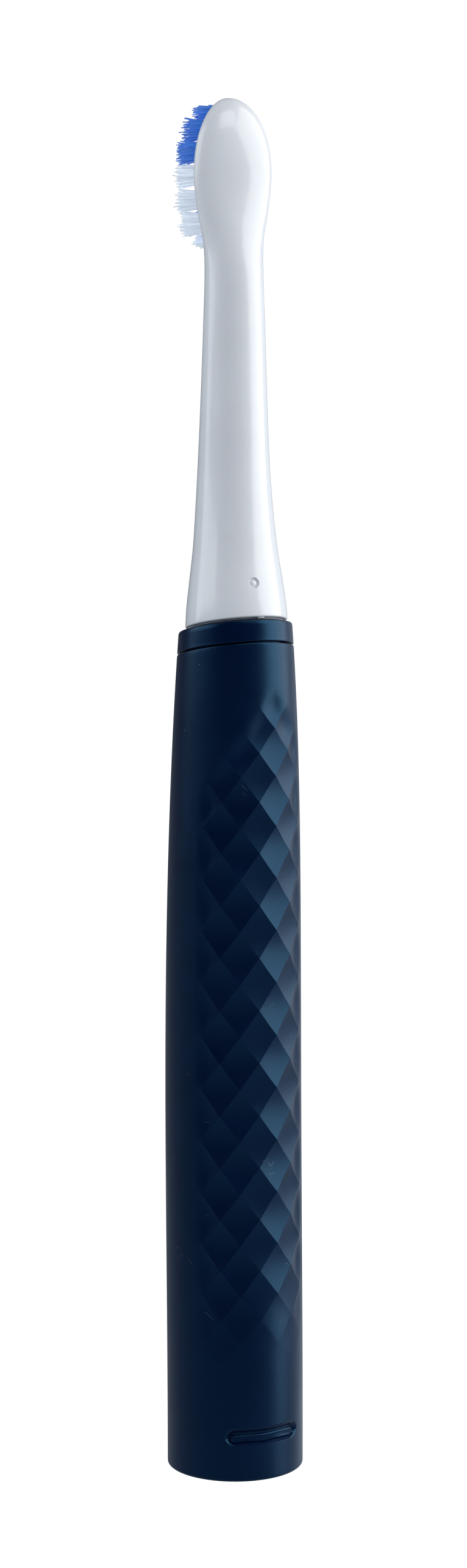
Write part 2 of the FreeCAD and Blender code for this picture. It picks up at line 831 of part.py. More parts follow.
def torsion_spring():
    half_width = min(spring_width / 2, shaft_radius - 0.2)
    half = spring_thickness / 2
    return block((-half_width, half_width), (-half, half),
                 (anchor_top_z - spring_grip, shaft_foot_z + spring_grip))


def spring_anchor():
    body = rod(anchor_radius, anchor_foot_z + seat_gap, anchor_top_z)
    half_width = min(spring_width / 2, shaft_radius - 0.2) + seat_gap
    half = spring_thickness / 2 + seat_gap
    return body.cut(block((-half_width, half_width), (-half, half),
                          (anchor_top_z - spring_grip - seat_gap, anchor_top_z + 1)))


# ---------------------------------------------------------------- leads
def lead(points, radius):
    """Round lead along straight runs joined by tangent arcs."""
    edges = []
    start = points[0]
    for before, corner, after in zip(points, points[1:], points[2:]):
        run_in = corner - before
        run_out = after - corner
        turn = run_in.getAngle(run_out)
        cut = 0.45 * min(run_in.Length, run_out.Length)
        arc_radius = cut / math.tan(turn / 2)
        first = corner - run_in.normalize() * cut
        last = corner + run_out.normalize() * cut
        bisector = (first + last) * 0.5 - corner
        centre_distance = math.hypot(arc_radius, cut)
        middle = corner + bisector.normalize() * (centre_distance - arc_radius)
        edges.append(Part.LineSegment(start, first).toShape())
        edges.append(Part.Arc(first, middle, last).toShape())
        start = last
    edges.append(Part.LineSegment(start, points[-1]).toShape())
    path = Part.Wire(edges)
    section = Part.Wire(Part.makeCircle(radius, points[0], points[1] - points[0]))
    return path.makePipeShell([section], True, True)


def motor_leads():
    """Two leads from the back of the board to the motor's end plate."""
    leads = []
    for side in (-1, 1):
        x = side * 1.2
        points = [vector(x, board_back_y + seat_gap, bulkhead_z + 7.0),
                  vector(x, -motor_radius + lead_inset - 0.4, bulkhead_z + 7.0),
                  vector(x * 1.6, -motor_radius + lead_inset, motor_foot_z - seat_gap)]
        leads.append(lead(points, lead_radius))
    return leads


def coil_leads():
    """Two leads from the charging coil up to the foot of the board."""
    low = cap_floor + former_height - former_flange - 0.5
    y = -former_flange_radius - coil_lead_radius - seat_gap
    return [rod(coil_lead_radius, low, board_low_z, side * coil_lead_x, y) for side in (-1, 1)]


# ---------------------------------------------------------------- brush head
def end_forward(depth):
    """Keeps the front of the paddle's round end out to the bristle face."""
    return paddle_forward + paddle_end_lean * (paddle_half_depth - depth)


def head_sections():
    """The neck's stations, then the paddle's, which follow an ellipse up to its round end."""
    sections = list(head_stations)
    sections.append((paddle_neck, paddle_neck_half_width, paddle_neck_half_depth,
                     (head_stations[-1][3] + paddle_forward) / 2))
    spread = paddle_half_width - paddle_neck_half_width
    rise = paddle_height - paddle_neck
    for share in (0.45, 0.75):
        width = paddle_neck_half_width + spread * math.sin(share * math.pi / 2)
        depth = paddle_half_depth + (paddle_neck_half_depth - paddle_half_depth) * (1 - share) ** 2
        sections.append((paddle_neck + rise * share, width, depth, paddle_forward))
    for degrees in (0, 22, 42, 58, 71, 81):
        angle = math.radians(degrees)
        height = paddle_height + (head_length - paddle_height) * math.sin(angle)
        width = paddle_half_width * math.cos(angle)
        depth = paddle_half_depth * math.cos(angle) ** 0.75
        sections.append((height, max(width, depth), depth, end_forward(depth)))
    return sections


def head_outline():
    wires = []
    for height, half_width, half_depth, forward in head_sections():
        centre = vector(0, -forward, head_foot_z + height)
        if half_width - half_depth < 0.001:
            curve = Part.makeCircle(half_width, centre)
        else:
            curve = Part.Ellipse(centre, half_width, half_depth).toShape()
        wires.append(Part.Wire(curve))
    wires.append(Part.Vertex(vector(0, -end_forward(0.0), head_top_z)))
    return Part.makeLoft(wires, True, False)


def bristle_plane_cutter():
    """Takes the front of the paddle flat, with a ramp down from the neck."""
    ramp_low = head_foot_z + paddle_neck - 6.0
    ramp_high = head_foot_z + paddle_neck - 2.0
    top = head_top_z + 5
    out = -foot_radius - 5
    side = 2 * paddle_half_width
    outline = [(bristle_face_y, ramp_high), (bristle_face_y, top), (out, top), (out, ramp_low - 6),
               (bristle_face_y - ramp_drop, ramp_low)]
    points = [vector(-side, y, z) for y, z in outline]
    face = Part.Face(Part.makePolygon(points + points[:1]))
    return face.extrude(vector(2 * side, 0, 0))


def tuft_places(kind):
    """Places of one kind of tuft: x, z, half width, half height."""
    places = []
    if kind == "core":
        for row in range(core_rows):
            z = head_foot_z + core_start + core_pitch_z * row
            columns = (-1, 0, 1) if row % 2 == 0 else (-0.5, 0.5)
            for column in columns:
                places.append((column * core_pitch_x, z, core_tuft_radius, core_tuft_radius))
        return places
    for height, x, half_height, half_width in (toe_tufts if kind == "toe" else side_tufts):
        for side in (-1, 1):
            places.append((side * x, head_foot_z + height, half_width, half_height))
    return places


def tufts(kind, grow=0.0):
    """The bristles of one kind, or the room for them."""
    tip = bristle_face_y - bristle_length
    root = bristle_face_y + tuft_depth - (0 if grow else anchor_blade_depth)
    return [slot_y(half_width + grow, half_height + grow, tip, root, x, z)
            for x, z, half_width, half_height in tuft_places(kind)]


def tuft_anchors():
    back = bristle_face_y + tuft_depth - seat_gap
    blades = []
    for kind in ("toe", "side", "core"):
        for x, z, half_width, half_height in tuft_places(kind):
            half = half_width - 0.05
            thickness = anchor_blade_thickness / 2
            blades.append(block((x - half, x + half), (back - anchor_blade_depth + 0.1, back),
                                (z - thickness, z + thickness)))
    return blades


def clip_space(gap):
    top = shaft_top_z + 1.0
    return rod(clip_radius + gap, top - clip_length - gap, top + gap)


def head_shell():
    body = head_outline().common(slope_space(head_foot_z, True))
    body = body.cut(bristle_plane_cutter())
    seat_top = head_foot_z + insert_height + seat_gap
    body = body.cut(rod(insert_radius + seat_gap, head_foot_z - 9, seat_top))
    throat = shaft_radius + 1.0
    body = body.cut(Part.makeCone(insert_radius - 1.0, throat, throat_length, vector(0, 0, seat_top)))
    body = body.cut(rod(throat, seat_top, shaft_top_z + 1.0))
    body = body.cut(clip_space(seat_gap))
    for kind in ("toe", "side", "core"):
        for hole in tufts(kind, tuft_gap):
            body = body.cut(hole)
    return body


def head_insert():
    flange = between_slopes(rod(insert_flange_radius, head_foot_z - 9, head_foot_z + 9),
                            head_foot_z - insert_flange, head_foot_z)
    top = head_foot_z + insert_height
    sleeve = rod(insert_radius, head_foot_z - 9, top).common(slope_space(head_foot_z - insert_flange, True))
    body = flange.fuse(sleeve)
    body = body.cut(rod(insert_radius - insert_wall, head_foot_z - 9, top - insert_web))
    return body.cut(rod(shaft_radius + 0.6, head_foot_z - 9, top + 1)).removeSplitter()


def shaft_clip():
    """Split sleeve with a flat that indexes on the shaft's flat."""
    sleeve = clip_space(0)
    low = shaft_top_z + 1.0 - clip_length
    bore = rod(clip_bore, low - 1, shaft_top_z + 2)
    flat = block((-5, 5), (shaft_radius - flat_depth + clip_gap, 5),
                 (shaft_top_z - flat_length + 1.0, shaft_top_z + 2))
    sleeve = sleeve.cut(bore.cut(flat))
    split = block((-0.3, 0.3), (-clip_radius - 1, 0), (low - 1, shaft_top_z - 3.0))
    return sleeve.cut(split)


# ---------------------------------------------------------------- write the parts
PARTS = {
    "head_shell": head_shell,
    "head_insert": head_insert,
    "shaft_clip": shaft_clip,
    "tuft_anchors": tuft_anchors,
    "bristles_toe_blue": lambda: tufts("toe"),
    "bristles_side_white": lambda: tufts("side"),
    "bristles_core_blue": lambda: tufts("core"),
    "drive_shaft": drive_shaft,
    "rotor_hub": rotor_hub,
    "rotor_magnets": rotor_magnets,
    "motor_housing": motor_housing,
    "motor_end_plate": motor_end_plate,
    "front_bearing": front_bearing,
    "rear_bearing": rear_bearing,
    "stator_core": stator_core,
    "stator_bobbins": stator_bobbins,
    "stator_coils": stator_coils,
    "torsion_spring": torsion_spring,
    "spring_anchor": spring_anchor,
    "front_damper": front_damper,
    "rear_damper": rear_damper,
    "handle_shell": handle_shell,
    "collar_ring": collar_ring,
    "collar_gasket": collar_gasket,
    "shaft_seal": shaft_seal,
    "base_cap": base_cap,
    "base_o_ring": base_o_ring,
    "base_latch": base_latch,
    "latch_spring": latch_spring,
    "power_button": power_button,
    "switch_plunger": switch_plunger,
    "button_membrane": button_membrane,
    "button_switch": button_switch,
    "indicator_lens": indicator_lens,
    "chassis": chassis,
    "circuit_board": circuit_board,
    "microcontroller": microcontroller,
    "board_parts": board_parts,
    "indicator_leds": indicator_leds,
    "board_screws": board_screws,
    "battery_cell": battery_cell,
    "battery_sleeve": battery_sleeve,
    "battery_tabs": battery_tabs,
    "battery_pad": battery_pad,
    "charge_coil": charge_coil,
    "coil_former": coil_former,
    "coil_ferrite": coil_ferrite,
    "motor_leads": motor_leads,
    "coil_leads": coil_leads,
}


def main():
    os.makedirs("parts", exist_ok=True)
    for name, make in PARTS.items():
        shape = make()
        if isinstance(shape, list):
            shape = Part.makeCompound(shape)
        shape.exportStep("parts/" + name + ".step")


main()
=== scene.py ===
import json
import math
import random

import bpy
import numpy as np
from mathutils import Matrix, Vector


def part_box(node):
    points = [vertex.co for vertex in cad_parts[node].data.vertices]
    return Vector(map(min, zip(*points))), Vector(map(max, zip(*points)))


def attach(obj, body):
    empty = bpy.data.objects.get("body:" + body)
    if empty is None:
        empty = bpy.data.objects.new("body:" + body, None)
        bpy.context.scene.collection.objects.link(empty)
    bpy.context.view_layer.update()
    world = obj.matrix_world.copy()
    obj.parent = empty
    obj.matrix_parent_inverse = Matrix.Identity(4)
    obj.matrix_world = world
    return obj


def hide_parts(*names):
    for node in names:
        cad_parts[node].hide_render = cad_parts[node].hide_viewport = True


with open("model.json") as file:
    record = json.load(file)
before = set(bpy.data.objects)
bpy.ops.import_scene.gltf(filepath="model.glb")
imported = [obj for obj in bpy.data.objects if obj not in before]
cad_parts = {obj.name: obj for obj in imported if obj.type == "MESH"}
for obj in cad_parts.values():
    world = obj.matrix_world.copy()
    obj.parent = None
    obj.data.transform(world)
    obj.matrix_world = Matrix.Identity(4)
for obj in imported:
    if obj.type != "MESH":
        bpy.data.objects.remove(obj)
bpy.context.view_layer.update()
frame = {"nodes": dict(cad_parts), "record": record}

bl_info = {
    "name": "Electric Toothbrush",
    "version": (1, 0, 0),
    "blender": (4, 5, 0),
    "location": "View3D > Sidebar > Toothbrush",
    "description": "Builds the looks of an electric toothbrush around its engineering model",
    "category": "Add Mesh",
}

MM = 0.001
STEPS = 212                # mesh columns around the handle
GRIP_STEPS = 10            # mesh columns from one column of the grip to the next, and rows likewise
NAVY_TINT = (0.16, 0.58, 1.0, 1.0)
SHAFT_HOLE = 5.05 * MM     # radius of the hole that the shaft's seal stands in
MOUNTS = {mount["name"]: mount for mount in frame["record"]["mounts"]}


def middle(node):
    low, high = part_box(node)
    return (low + high) / 2


def half_width(node):
    low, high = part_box(node)
    return (high.x - low.x) / 2


FOOT_RADIUS = half_width("base_cap") + 1.55 * MM
HEAD_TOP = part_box("head_shell")[1].z

# The head's outline: height above its foot, half width, half depth and how far forward it stands.
HEAD_STATIONS = (
    (-3.0, 8.85, 8.85, -0.60),
    (2.5, 8.57, 8.57, -0.55),
    (7.5, 7.95, 7.95, -0.33),
    (13.0, 7.20, 7.20, 0.05),
    (19.2, 6.64, 6.64, 0.45),
    (27.5, 6.11, 6.05, 0.68),
    (39.0, 5.64, 5.50, 0.60),
    (50.0, 5.30, 5.00, 0.50),
    (60.0, 5.03, 4.45, 0.60),
    (65.0, 5.35, 3.75, 0.85),
    (70.0, 6.38, 3.20, 1.10),
    (76.0, 6.96, 2.95, 1.10),
)


# ---------------------------------------------------------------- settings
class HandleSettings(bpy.types.PropertyGroup):
    foot_radius: bpy.props.FloatProperty(
        name="Foot radius", description="Outside of the handle at its foot",
        default=FOOT_RADIUS, unit="LENGTH")
    seam_radius: bpy.props.FloatProperty(
        name="Seam radius", description="Outside of the handle at the seam", default=9.95 * MM,
        unit="LENGTH")
    seam_height: bpy.props.FloatProperty(
        name="Seam height", description="From the foot to the seam, on the axis",
        default=143.0 * MM, unit="LENGTH")
    taper_power: bpy.props.FloatProperty(
        name="Taper power", description="The higher it is, the later the handle narrows", default=4.8)
    bow_depth: bpy.props.FloatProperty(
        name="Bow depth", description="How far the waist stands forward", default=1.0 * MM, unit="LENGTH")
    seam_lean: bpy.props.FloatProperty(
        name="Seam lean", description="How far the seam stands back", default=0.2 * MM, unit="LENGTH")
    seam_slope: bpy.props.FloatProperty(
        name="Seam slope", description="Slope of the seam, high at the back",
        default=math.radians(12.8), subtype="ANGLE")
    slope_start: bpy.props.FloatProperty(
        name="Slope start", description="Height where the rows begin to lean into the seam's slope",
        default=136.0 * MM, unit="LENGTH")
    wall: bpy.props.FloatProperty(
        name="Wall", description="Thickness of the shell", default=1.7 * MM, unit="LENGTH")
    collar_foot: bpy.props.FloatProperty(
        name="Collar foot", description="Height of the collar's lower edge, on the axis",
        default=143.3 * MM, unit="LENGTH")
    collar_top: bpy.props.FloatProperty(
        name="Collar top", description="Height of the collar's upper edge, on the axis",
        default=146.95 * MM, unit="LENGTH")


class GripSettings(bpy.types.PropertyGroup):
    cell_height: bpy.props.FloatProperty(
        name="Cell height", description="Height of one sunk cell", default=9.1 * MM, unit="LENGTH")
    middle_height: bpy.props.FloatProperty(
        name="Middle height", description="Height of a crossing of the ridges", default=73.3 * MM,
        unit="LENGTH")
    crowding: bpy.props.FloatProperty(
        name="Crowding", description="How much shorter the cells are at the grip's ends", default=0.022)
    depth: bpy.props.FloatProperty(
        name="Depth", description="Depth of a cell's middle", default=0.55 * MM, unit="LENGTH")
    top: bpy.props.FloatProperty(
        name="Top", description="Height where the grip's highest column begins to fade", default=134.0 * MM,
        unit="LENGTH")
    top_fade: bpy.props.FloatProperty(
        name="Top fade", description="Height over which the grip fades at its top", default=6.6 * MM,
        unit="LENGTH")
    top_fall: bpy.props.FloatProperty(
        name="Top fall", description="How far the top falls from one column to the next",
        default=4.3 * MM, unit="LENGTH")
    bottom: bpy.props.FloatProperty(
        name="Bottom", description="Height of the grip's lower end", default=19.0 * MM, unit="LENGTH")
    bottom_fade: bpy.props.FloatProperty(
        name="Bottom fade", description="Height over which the grip fades at its lower end",
        default=24.0 * MM, unit="LENGTH")
    last_row: bpy.props.FloatProperty(
        name="Last row", description="Height up to which the mesh rows keep step with the grip",
        default=136.4 * MM, unit="LENGTH")
    reach: bpy.props.FloatProperty(
        name="Reach", description="Columns from the back to the grip's sides", default=3.4)
    side_fade: bpy.props.FloatProperty(
        name="Side fade", description="Columns over which the grip fades at its sides", default=0.9)
    turn: bpy.props.FloatProperty(
        name="Turn", description="Columns from the back to the grip's highest column", default=1.0)


class LatchSettings(bpy.types.PropertyGroup):
    height: bpy.props.FloatProperty(
        name="Height", description="Height of the latch bar", default=7.5 * MM, unit="LENGTH")
    aside: bpy.props.FloatProperty(
        name="Aside", description="X of the bar's middle", default=-0.8 * MM, unit="LENGTH")
    half_length: bpy.props.FloatProperty(
        name="Half length", description="Half the bar's length", default=6.0 * MM, unit="LENGTH")
    half_height: bpy.props.FloatProperty(
        name="Half height", description="Half the bar's height", default=0.7 * MM, unit="LENGTH")
    sink: bpy.props.FloatProperty(
        name="Sink", description="From the handle's outside to the bar's face", default=0.32 * MM,
        unit="LENGTH")
    flatness: bpy.props.FloatProperty(
        name="Flatness", description="How much deeper the bar's middle is than its ends", default=0.2 * MM,
        unit="LENGTH")
    recess_half_length: bpy.props.FloatProperty(
        name="Recess half length", description="Half the recess's length along the shell",
        default=6.95 * MM, unit="LENGTH")
    recess_half_height: bpy.props.FloatProperty(
        name="Recess half height", description="Half the recess's height", default=1.55 * MM, unit="LENGTH")
    recess_rise: bpy.props.FloatProperty(
        name="Recess rise", description="From the bar's middle up to the recess's middle", default=0.5 * MM,
        unit="LENGTH")
    recess_depth: bpy.props.FloatProperty(
        name="Recess depth", description="Depth of the recess", default=0.72 * MM, unit="LENGTH")


class BristleSettings(bpy.types.PropertyGroup):
    filament: bpy.props.FloatProperty(
        name="Filament", description="Thickness of one filament", default=0.19 * MM, unit="LENGTH")
    spacing: bpy.props.FloatProperty(
        name="Spacing", description="From one filament to the next at the root", default=0.205 * MM,
        unit="LENGTH")
    flare: bpy.props.FloatProperty(
        name="Flare", description="How much wider a tuft is at its tips", default=0.27)
    stray: bpy.props.FloatProperty(
        name="Stray", description="How far a filament's tip wanders", default=0.2 * MM, unit="LENGTH")
    uneven: bpy.props.FloatProperty(
        name="Uneven", description="How much the lengths differ", default=0.26 * MM, unit="LENGTH")


class ColourSettings(bpy.types.PropertyGroup):
    navy: bpy.props.FloatVectorProperty(
        name="Navy", description="Handle, collar and foot", subtype="COLOR", default=(0.0, 0.0035, 0.030))
    white: bpy.props.FloatVectorProperty(
        name="White", description="Brush head", subtype="COLOR", default=(0.87, 0.90, 0.95))
    blue: bpy.props.FloatVectorProperty(
        name="Blue", description="Blue bristles", subtype="COLOR", default=(0.004, 0.19, 0.78))
    pale: bpy.props.FloatVectorProperty(
        name="Pale", description="Pale bristles", subtype="COLOR", default=(0.78, 0.84, 0.93))


class StageSettings(bpy.types.PropertyGroup):
    azimuth: bpy.props.FloatProperty(
        name="Azimuth", description="Way round to the camera", default=math.radians(157.6), subtype="ANGLE")
    distance: bpy.props.FloatProperty(
        name="Distance", description="From the camera to the axis", default=635.0 * MM, unit="LENGTH")
    height: bpy.props.FloatProperty(
        name="Height", description="Height of the camera", default=205.2 * MM, unit="LENGTH")
    pitch: bpy.props.FloatProperty(
        name="Pitch", description="How far the camera looks down", default=math.radians(7.64),
        subtype="ANGLE")
    offset: bpy.props.FloatProperty(
        name="Offset", description="How far the camera stands to the left", default=0.3 * MM, unit="LENGTH")
    lens: bpy.props.FloatProperty(
        name="Lens", description="Focal length in millimetres", default=85.8)


SETTINGS = {
    "toothbrush_handle": HandleSettings,
    "toothbrush_grip": GripSettings,
    "toothbrush_latch": LatchSettings,
    "toothbrush_bristles": BristleSettings,
    "toothbrush_colours": ColourSettings,
    "toothbrush_stage": StageSettings,
}


def settings(name):
    return getattr(bpy.context.scene, "toothbrush_" + name)


# ---------------------------------------------------------------- modelling helpers
def deselect_all():
    for other in bpy.context.selected_objects:
        other.select_set(False)


def make_active(piece):
    deselect_all()
    piece.select_set(True)
    bpy.context.view_layer.objects.active = piece


def named(name):
    piece = bpy.context.object
    piece.name = name
    piece.data.name = name
    return piece


def edit(piece):
    make_active(piece)
    bpy.ops.object.mode_set(mode="EDIT")
    bpy.ops.mesh.select_all(action="SELECT")


def leave_edit():
    bpy.ops.object.mode_set(mode="OBJECT")


def lathe(name, profile, steps):
    """Closed outline of (radius, height) points, spun about the handle's axis into a solid."""
    deselect_all()
    bpy.ops.mesh.primitive_circle_add(vertices=len(profile), radius=MM, fill_type="NOTHING")
    piece = named(name)
    for vertex, (radius, height) in zip(piece.data.vertices, profile):
        vertex.co = (radius, 0.0, height)
    edit(piece)
    bpy.ops.mesh.spin(steps=steps, angle=math.tau, center=(0, 0, 0), axis=(0, 0, 1))
    clean_up()
    leave_edit()
    return piece


def clean_up():
    bpy.ops.mesh.select_all(action="SELECT")
    bpy.ops.mesh.remove_doubles(threshold=0.0005 * MM)
    bpy.ops.mesh.dissolve_degenerate(threshold=0.0005 * MM)
    bpy.ops.mesh.select_all(action="SELECT")
    bpy.ops.mesh.normals_make_consistent(inside=False)


def reshape(piece, place):
    """Moves every vertex to where the function puts it."""
    for vertex in piece.data.vertices:
        vertex.co = place(vertex.co)
    piece.data.update()
    edit(piece)
    bpy.ops.mesh.normals_make_consistent(inside=False)
    leave_edit()
    return piece


def use_modifier(piece, kind, **values):
    make_active(piece)
    modifier = piece.modifiers.new(kind, kind)
    for key, value in values.items():
        setattr(modifier, key, value)
    bpy.ops.object.modifier_apply(modifier=modifier.name)
    return piece


def cut_away(piece, *cutters):
    for cutter in cutters:
        use_modifier(piece, "BOOLEAN", object=cutter, operation="DIFFERENCE", solver="EXACT")
        bpy.data.objects.remove(cutter)
    return piece


def round_edges(piece, width, segments=2, degrees=40):
    return use_modifier(piece, "BEVEL", width=width, segments=segments, limit_method="ANGLE",
                        angle_limit=math.radians(degrees), harden_normals=False)


def smooth(piece, degrees=35):
    make_active(piece)
    bpy.ops.object.shade_smooth_by_angle(angle=math.radians(degrees))
    return piece


def join(name, *pieces):
    make_active(pieces[0])
    for piece in pieces:
        piece.select_set(True)
    bpy.ops.object.join()
    return named(name)


def finish(piece, body, node, slot, *materials):
    """Gives a piece its finish and its body, and hides the engineering node that it stands for."""
    piece.data.materials.clear()
    for material in materials:
        piece.data.materials.append(material)
    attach(piece, body)
    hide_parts(node)
    return piece


def ease(value, low, high):
    """Smooth step from 0 at low to 1 at high."""
    share = min(max((value - low) / (high - low), 0.0), 1.0)
    return share * share * (3 - 2 * share)


def arc(radius, height, size, start, end, count=5):
    """Points of a rounded corner about a centre, between two angles in degrees."""
    angles = [math.radians(start + (end - start) * index / count) for index in range(count + 1)]
    return [(radius + size * math.cos(angle), height + size * math.sin(angle)) for angle in angles]


def evenly(start, end, step):
    count = max(int(round(abs(end - start) / step)), 1)
    return [start + (end - start) * index / count for index in range(count + 1)]


# ---------------------------------------------------------------- the handle's outline
def handle_radius(z):
    handle = settings("handle")
    share = max(z, 0.0) / handle.seam_height
    return handle.foot_radius - (handle.foot_radius - handle.seam_radius) * share ** handle.taper_power


def handle_centre(z):
    handle = settings("handle")
    share = z / handle.seam_height
    return handle.seam_lean * share - handle.bow_depth * math.sin(math.pi * 0.953 * share) ** 2


def lean_into_slope(point, weight=1.0):
    """Moves a point of an upright turned piece into the seam's slope and the handle's bow."""
    handle = settings("handle")
    z = point.z + point.y * math.tan(handle.seam_slope) * weight
    radius = math.hypot(point.x, point.y)
    wanted = radius - handle_radius(point.z) + handle_radius(z)
    scale = wanted / radius if radius > 0 else 1.0
    return Vector((point.x * scale, point.y * scale + handle_centre(z), z))


def surface_y(x, z, side, inset=0.0):
    """Y of the handle's outside at the back (side 1) or the front (side -1)."""
    radius = handle_radius(z) - inset
    return handle_centre(z) + side * math.sqrt(radius * radius - x * x)


def wrapped(name, outline, steps, side, height, stretch_x=0.0, stretch_z=0.0, inset=0.0, aside=0.0,
            flatness=0.0):
    """Turned disc laid on the front or back of the handle, which can be drawn out along X or Z.

    The outline holds (radius, depth) points, with depth counted outwards from the handle's surface."""
    disc = lathe(name, outline, steps)
    if stretch_x or stretch_z:
        for vertex in disc.data.vertices:
            lead = vertex.co.x if stretch_x else vertex.co.y
            if abs(lead) > 1e-9:
                vertex.co.x += math.copysign(stretch_x, lead)
                vertex.co.y += math.copysign(stretch_z, lead)

    reach = max(abs(vertex.co.x) for vertex in disc.data.vertices)

    def place(point):
        x = aside + point.x
        z = height + point.y
        deeper = flatness * (1 - (point.x / reach) ** 2)
        return Vector((x, surface_y(x, z, side, inset + deeper) + side * point.z, z))

    return reshape(disc, place)


# ---------------------------------------------------------------- shader helpers
def new_material(name, **values):
    """A Principled material, with uniform values set on its own sockets."""
    material = bpy.data.materials.new(name)
    material.use_nodes = True
    shader = material.node_tree.nodes["Principled BSDF"]
    for socket, value in values.items():
        shader.inputs[socket.replace("_", " ")].default_value = value
    return material, material.node_tree, shader


def add_node(tree, kind, **values):
    node = tree.nodes.new(kind)
    for key, value in values.items():
        if hasattr(node, key):
            setattr(node, key, value)
        else:
            node.inputs[key.replace("_", " ")].default_value = value
    return node


def object_point(tree, scale=(1.0, 1.0, 1.0)):
    """Object coordinates in millimetres, stretched by a scale."""
    point = tree.nodes.new("ShaderNodeTexCoord")
    mapping = tree.nodes.new("ShaderNodeMapping")
    mapping.inputs["Scale"].default_value = [value / MM for value in scale]
    tree.links.new(point.outputs["Object"], mapping.inputs["Vector"])
    return mapping.outputs["Vector"]


def group_tree(name, sockets_in, sockets_out):
    """A new shader group with named sockets."""
    tree = bpy.data.node_groups.new(name, "ShaderNodeTree")
    for label, kind, value in sockets_in:
        socket = tree.interface.new_socket(label, in_out="INPUT", socket_type=kind)
        if value is not None:
            socket.default_value = value
    for label, kind in sockets_out:
        tree.interface.new_socket(label, in_out="OUTPUT", socket_type=kind)
    return tree, tree.nodes.new("NodeGroupInput"), tree.nodes.new("NodeGroupOutput")


def noise(tree, vector, scale, detail=2.0, roughness=0.5):
    texture = add_node(tree, "ShaderNodeTexNoise", Scale=scale, Detail=detail, Roughness=roughness)
    tree.links.new(vector, texture.inputs["Vector"])
    return texture.outputs["Fac"]


def to_range(tree, value, low, high, to_low, to_high):
    node = add_node(tree, "ShaderNodeMapRange")
    node.inputs["From Min"].default_value = low
    node.inputs["From Max"].default_value = high
    node.inputs["To Min"].default_value = to_low
    node.inputs["To Max"].default_value = to_high
    tree.links.new(value, node.inputs["Value"])
    return node.outputs["Result"]


def combine(tree, operation, first, second):
    node = add_node(tree, "ShaderNodeMath", operation=operation)
    for index, value in enumerate((first, second)):
        if isinstance(value, (int, float)):
            node.inputs[index].default_value = value
        else:
            tree.links.new(value, node.inputs[index])
    return node.outputs[0]


def mix_colours(tree, factor, first, second):
    node = add_node(tree, "ShaderNodeMix", data_type="RGBA")
    if isinstance(factor, (int, float)):
        node.inputs["Factor"].default_value = factor
    else:
        tree.links.new(factor, node.inputs["Factor"])
    for socket, value in ((node.inputs[6], first), (node.inputs[7], second)):
        if isinstance(value, bpy.types.NodeSocket):
            tree.links.new(value, socket)
        else:
            socket.default_value = (*value, 1.0)
    return node.outputs[2]


def bump(tree, shader, height, distance, strength=1.0):
    node = add_node(tree, "ShaderNodeBump", Strength=strength, Distance=distance)
    tree.links.new(height, node.inputs["Height"])
    tree.links.new(node.outputs["Normal"], shader.inputs["Normal"])


def placed(tree, group, **values):
    """One effect group placed in a material, with its own values."""
    node = tree.nodes.new("ShaderNodeGroup")
    node.node_tree = bpy.data.node_groups[group]
    for key, value in values.items():
        socket = node.inputs[key.replace("_", " ")]
        if isinstance(value, bpy.types.NodeSocket):
            tree.links.new(value, socket)
        else:
            socket.default_value = value
    return node.outputs


# ---------------------------------------------------------------- shared effects
def build_grain():
    """Fine spark texture of moulded plastic, with slow cloudy changes of gloss."""
    tree, inputs, outputs = group_tree(
        "Moulded Grain",
        [("Point", "NodeSocketVector", None), ("Scale", "NodeSocketFloat", 6.0)],
        [("Height", "NodeSocketFloat"), ("Cloud", "NodeSocketFloat")])
    fine = add_node(tree, "ShaderNodeTexNoise", Detail=3.0, Roughness=0.6)
    tree.links.new(inputs.outputs["Point"], fine.inputs["Vector"])
    tree.links.new(inputs.outputs["Scale"], fine.inputs["Scale"])
    cloud = noise(tree, inputs.outputs["Point"], 0.09, 3.0, 0.6)
    tree.links.new(fine.outputs["Fac"], outputs.inputs["Height"])
    tree.links.new(cloud, outputs.inputs["Cloud"])


def build_dust():
    """Sparse specks and short hairs of dust."""
    tree, inputs, outputs = group_tree(
        "Dust",
        [("Point", "NodeSocketVector", None), ("Amount", "NodeSocketFloat", 0.5)],
        [("Mask", "NodeSocketFloat")])
    cells = add_node(tree, "ShaderNodeTexVoronoi", feature="F1", Scale=0.55, Randomness=1.0)
    tree.links.new(inputs.outputs["Point"], cells.inputs["Vector"])
    specks = to_range(tree, cells.outputs["Distance"], 0.045, 0.03, 0.0, 1.0)
    sparse = to_range(tree, noise(tree, inputs.outputs["Point"], 0.31, 1.0), 0.60, 0.66, 0.0, 1.0)
    hairs = add_node(tree, "ShaderNodeTexWave", wave_type="RINGS", Scale=0.22, Distortion=16.0,
                     Detail=2.0, Detail_Scale=0.7)
    tree.links.new(inputs.outputs["Point"], hairs.inputs["Vector"])
    lines = to_range(tree, hairs.outputs["Fac"], 0.9985, 0.9999, 0.0, 1.0)
    rare = to_range(tree, noise(tree, inputs.outputs["Point"], 0.22, 2.0), 0.72, 0.76, 0.0, 0.7)
    both = combine(tree, "MAXIMUM", combine(tree, "MULTIPLY", specks, sparse),
                   combine(tree, "MULTIPLY", lines, rare))
    tree.links.new(combine(tree, "MULTIPLY", both, inputs.outputs["Amount"]), outputs.inputs["Mask"])


def build_brushing():
    """Fine lines left by grinding or rolling, along the stretched axis of its point."""
    tree, inputs, outputs = group_tree(
        "Brushed Lines",
        [("Point", "NodeSocketVector", None)],
        [("Height", "NodeSocketFloat"), ("Stain", "NodeSocketFloat")])
    tree.links.new(noise(tree, inputs.outputs["Point"], 3.0, 4.0, 0.7), outputs.inputs["Height"])
    tree.links.new(noise(tree, inputs.outputs["Point"], 0.25, 2.0), outputs.inputs["Stain"])


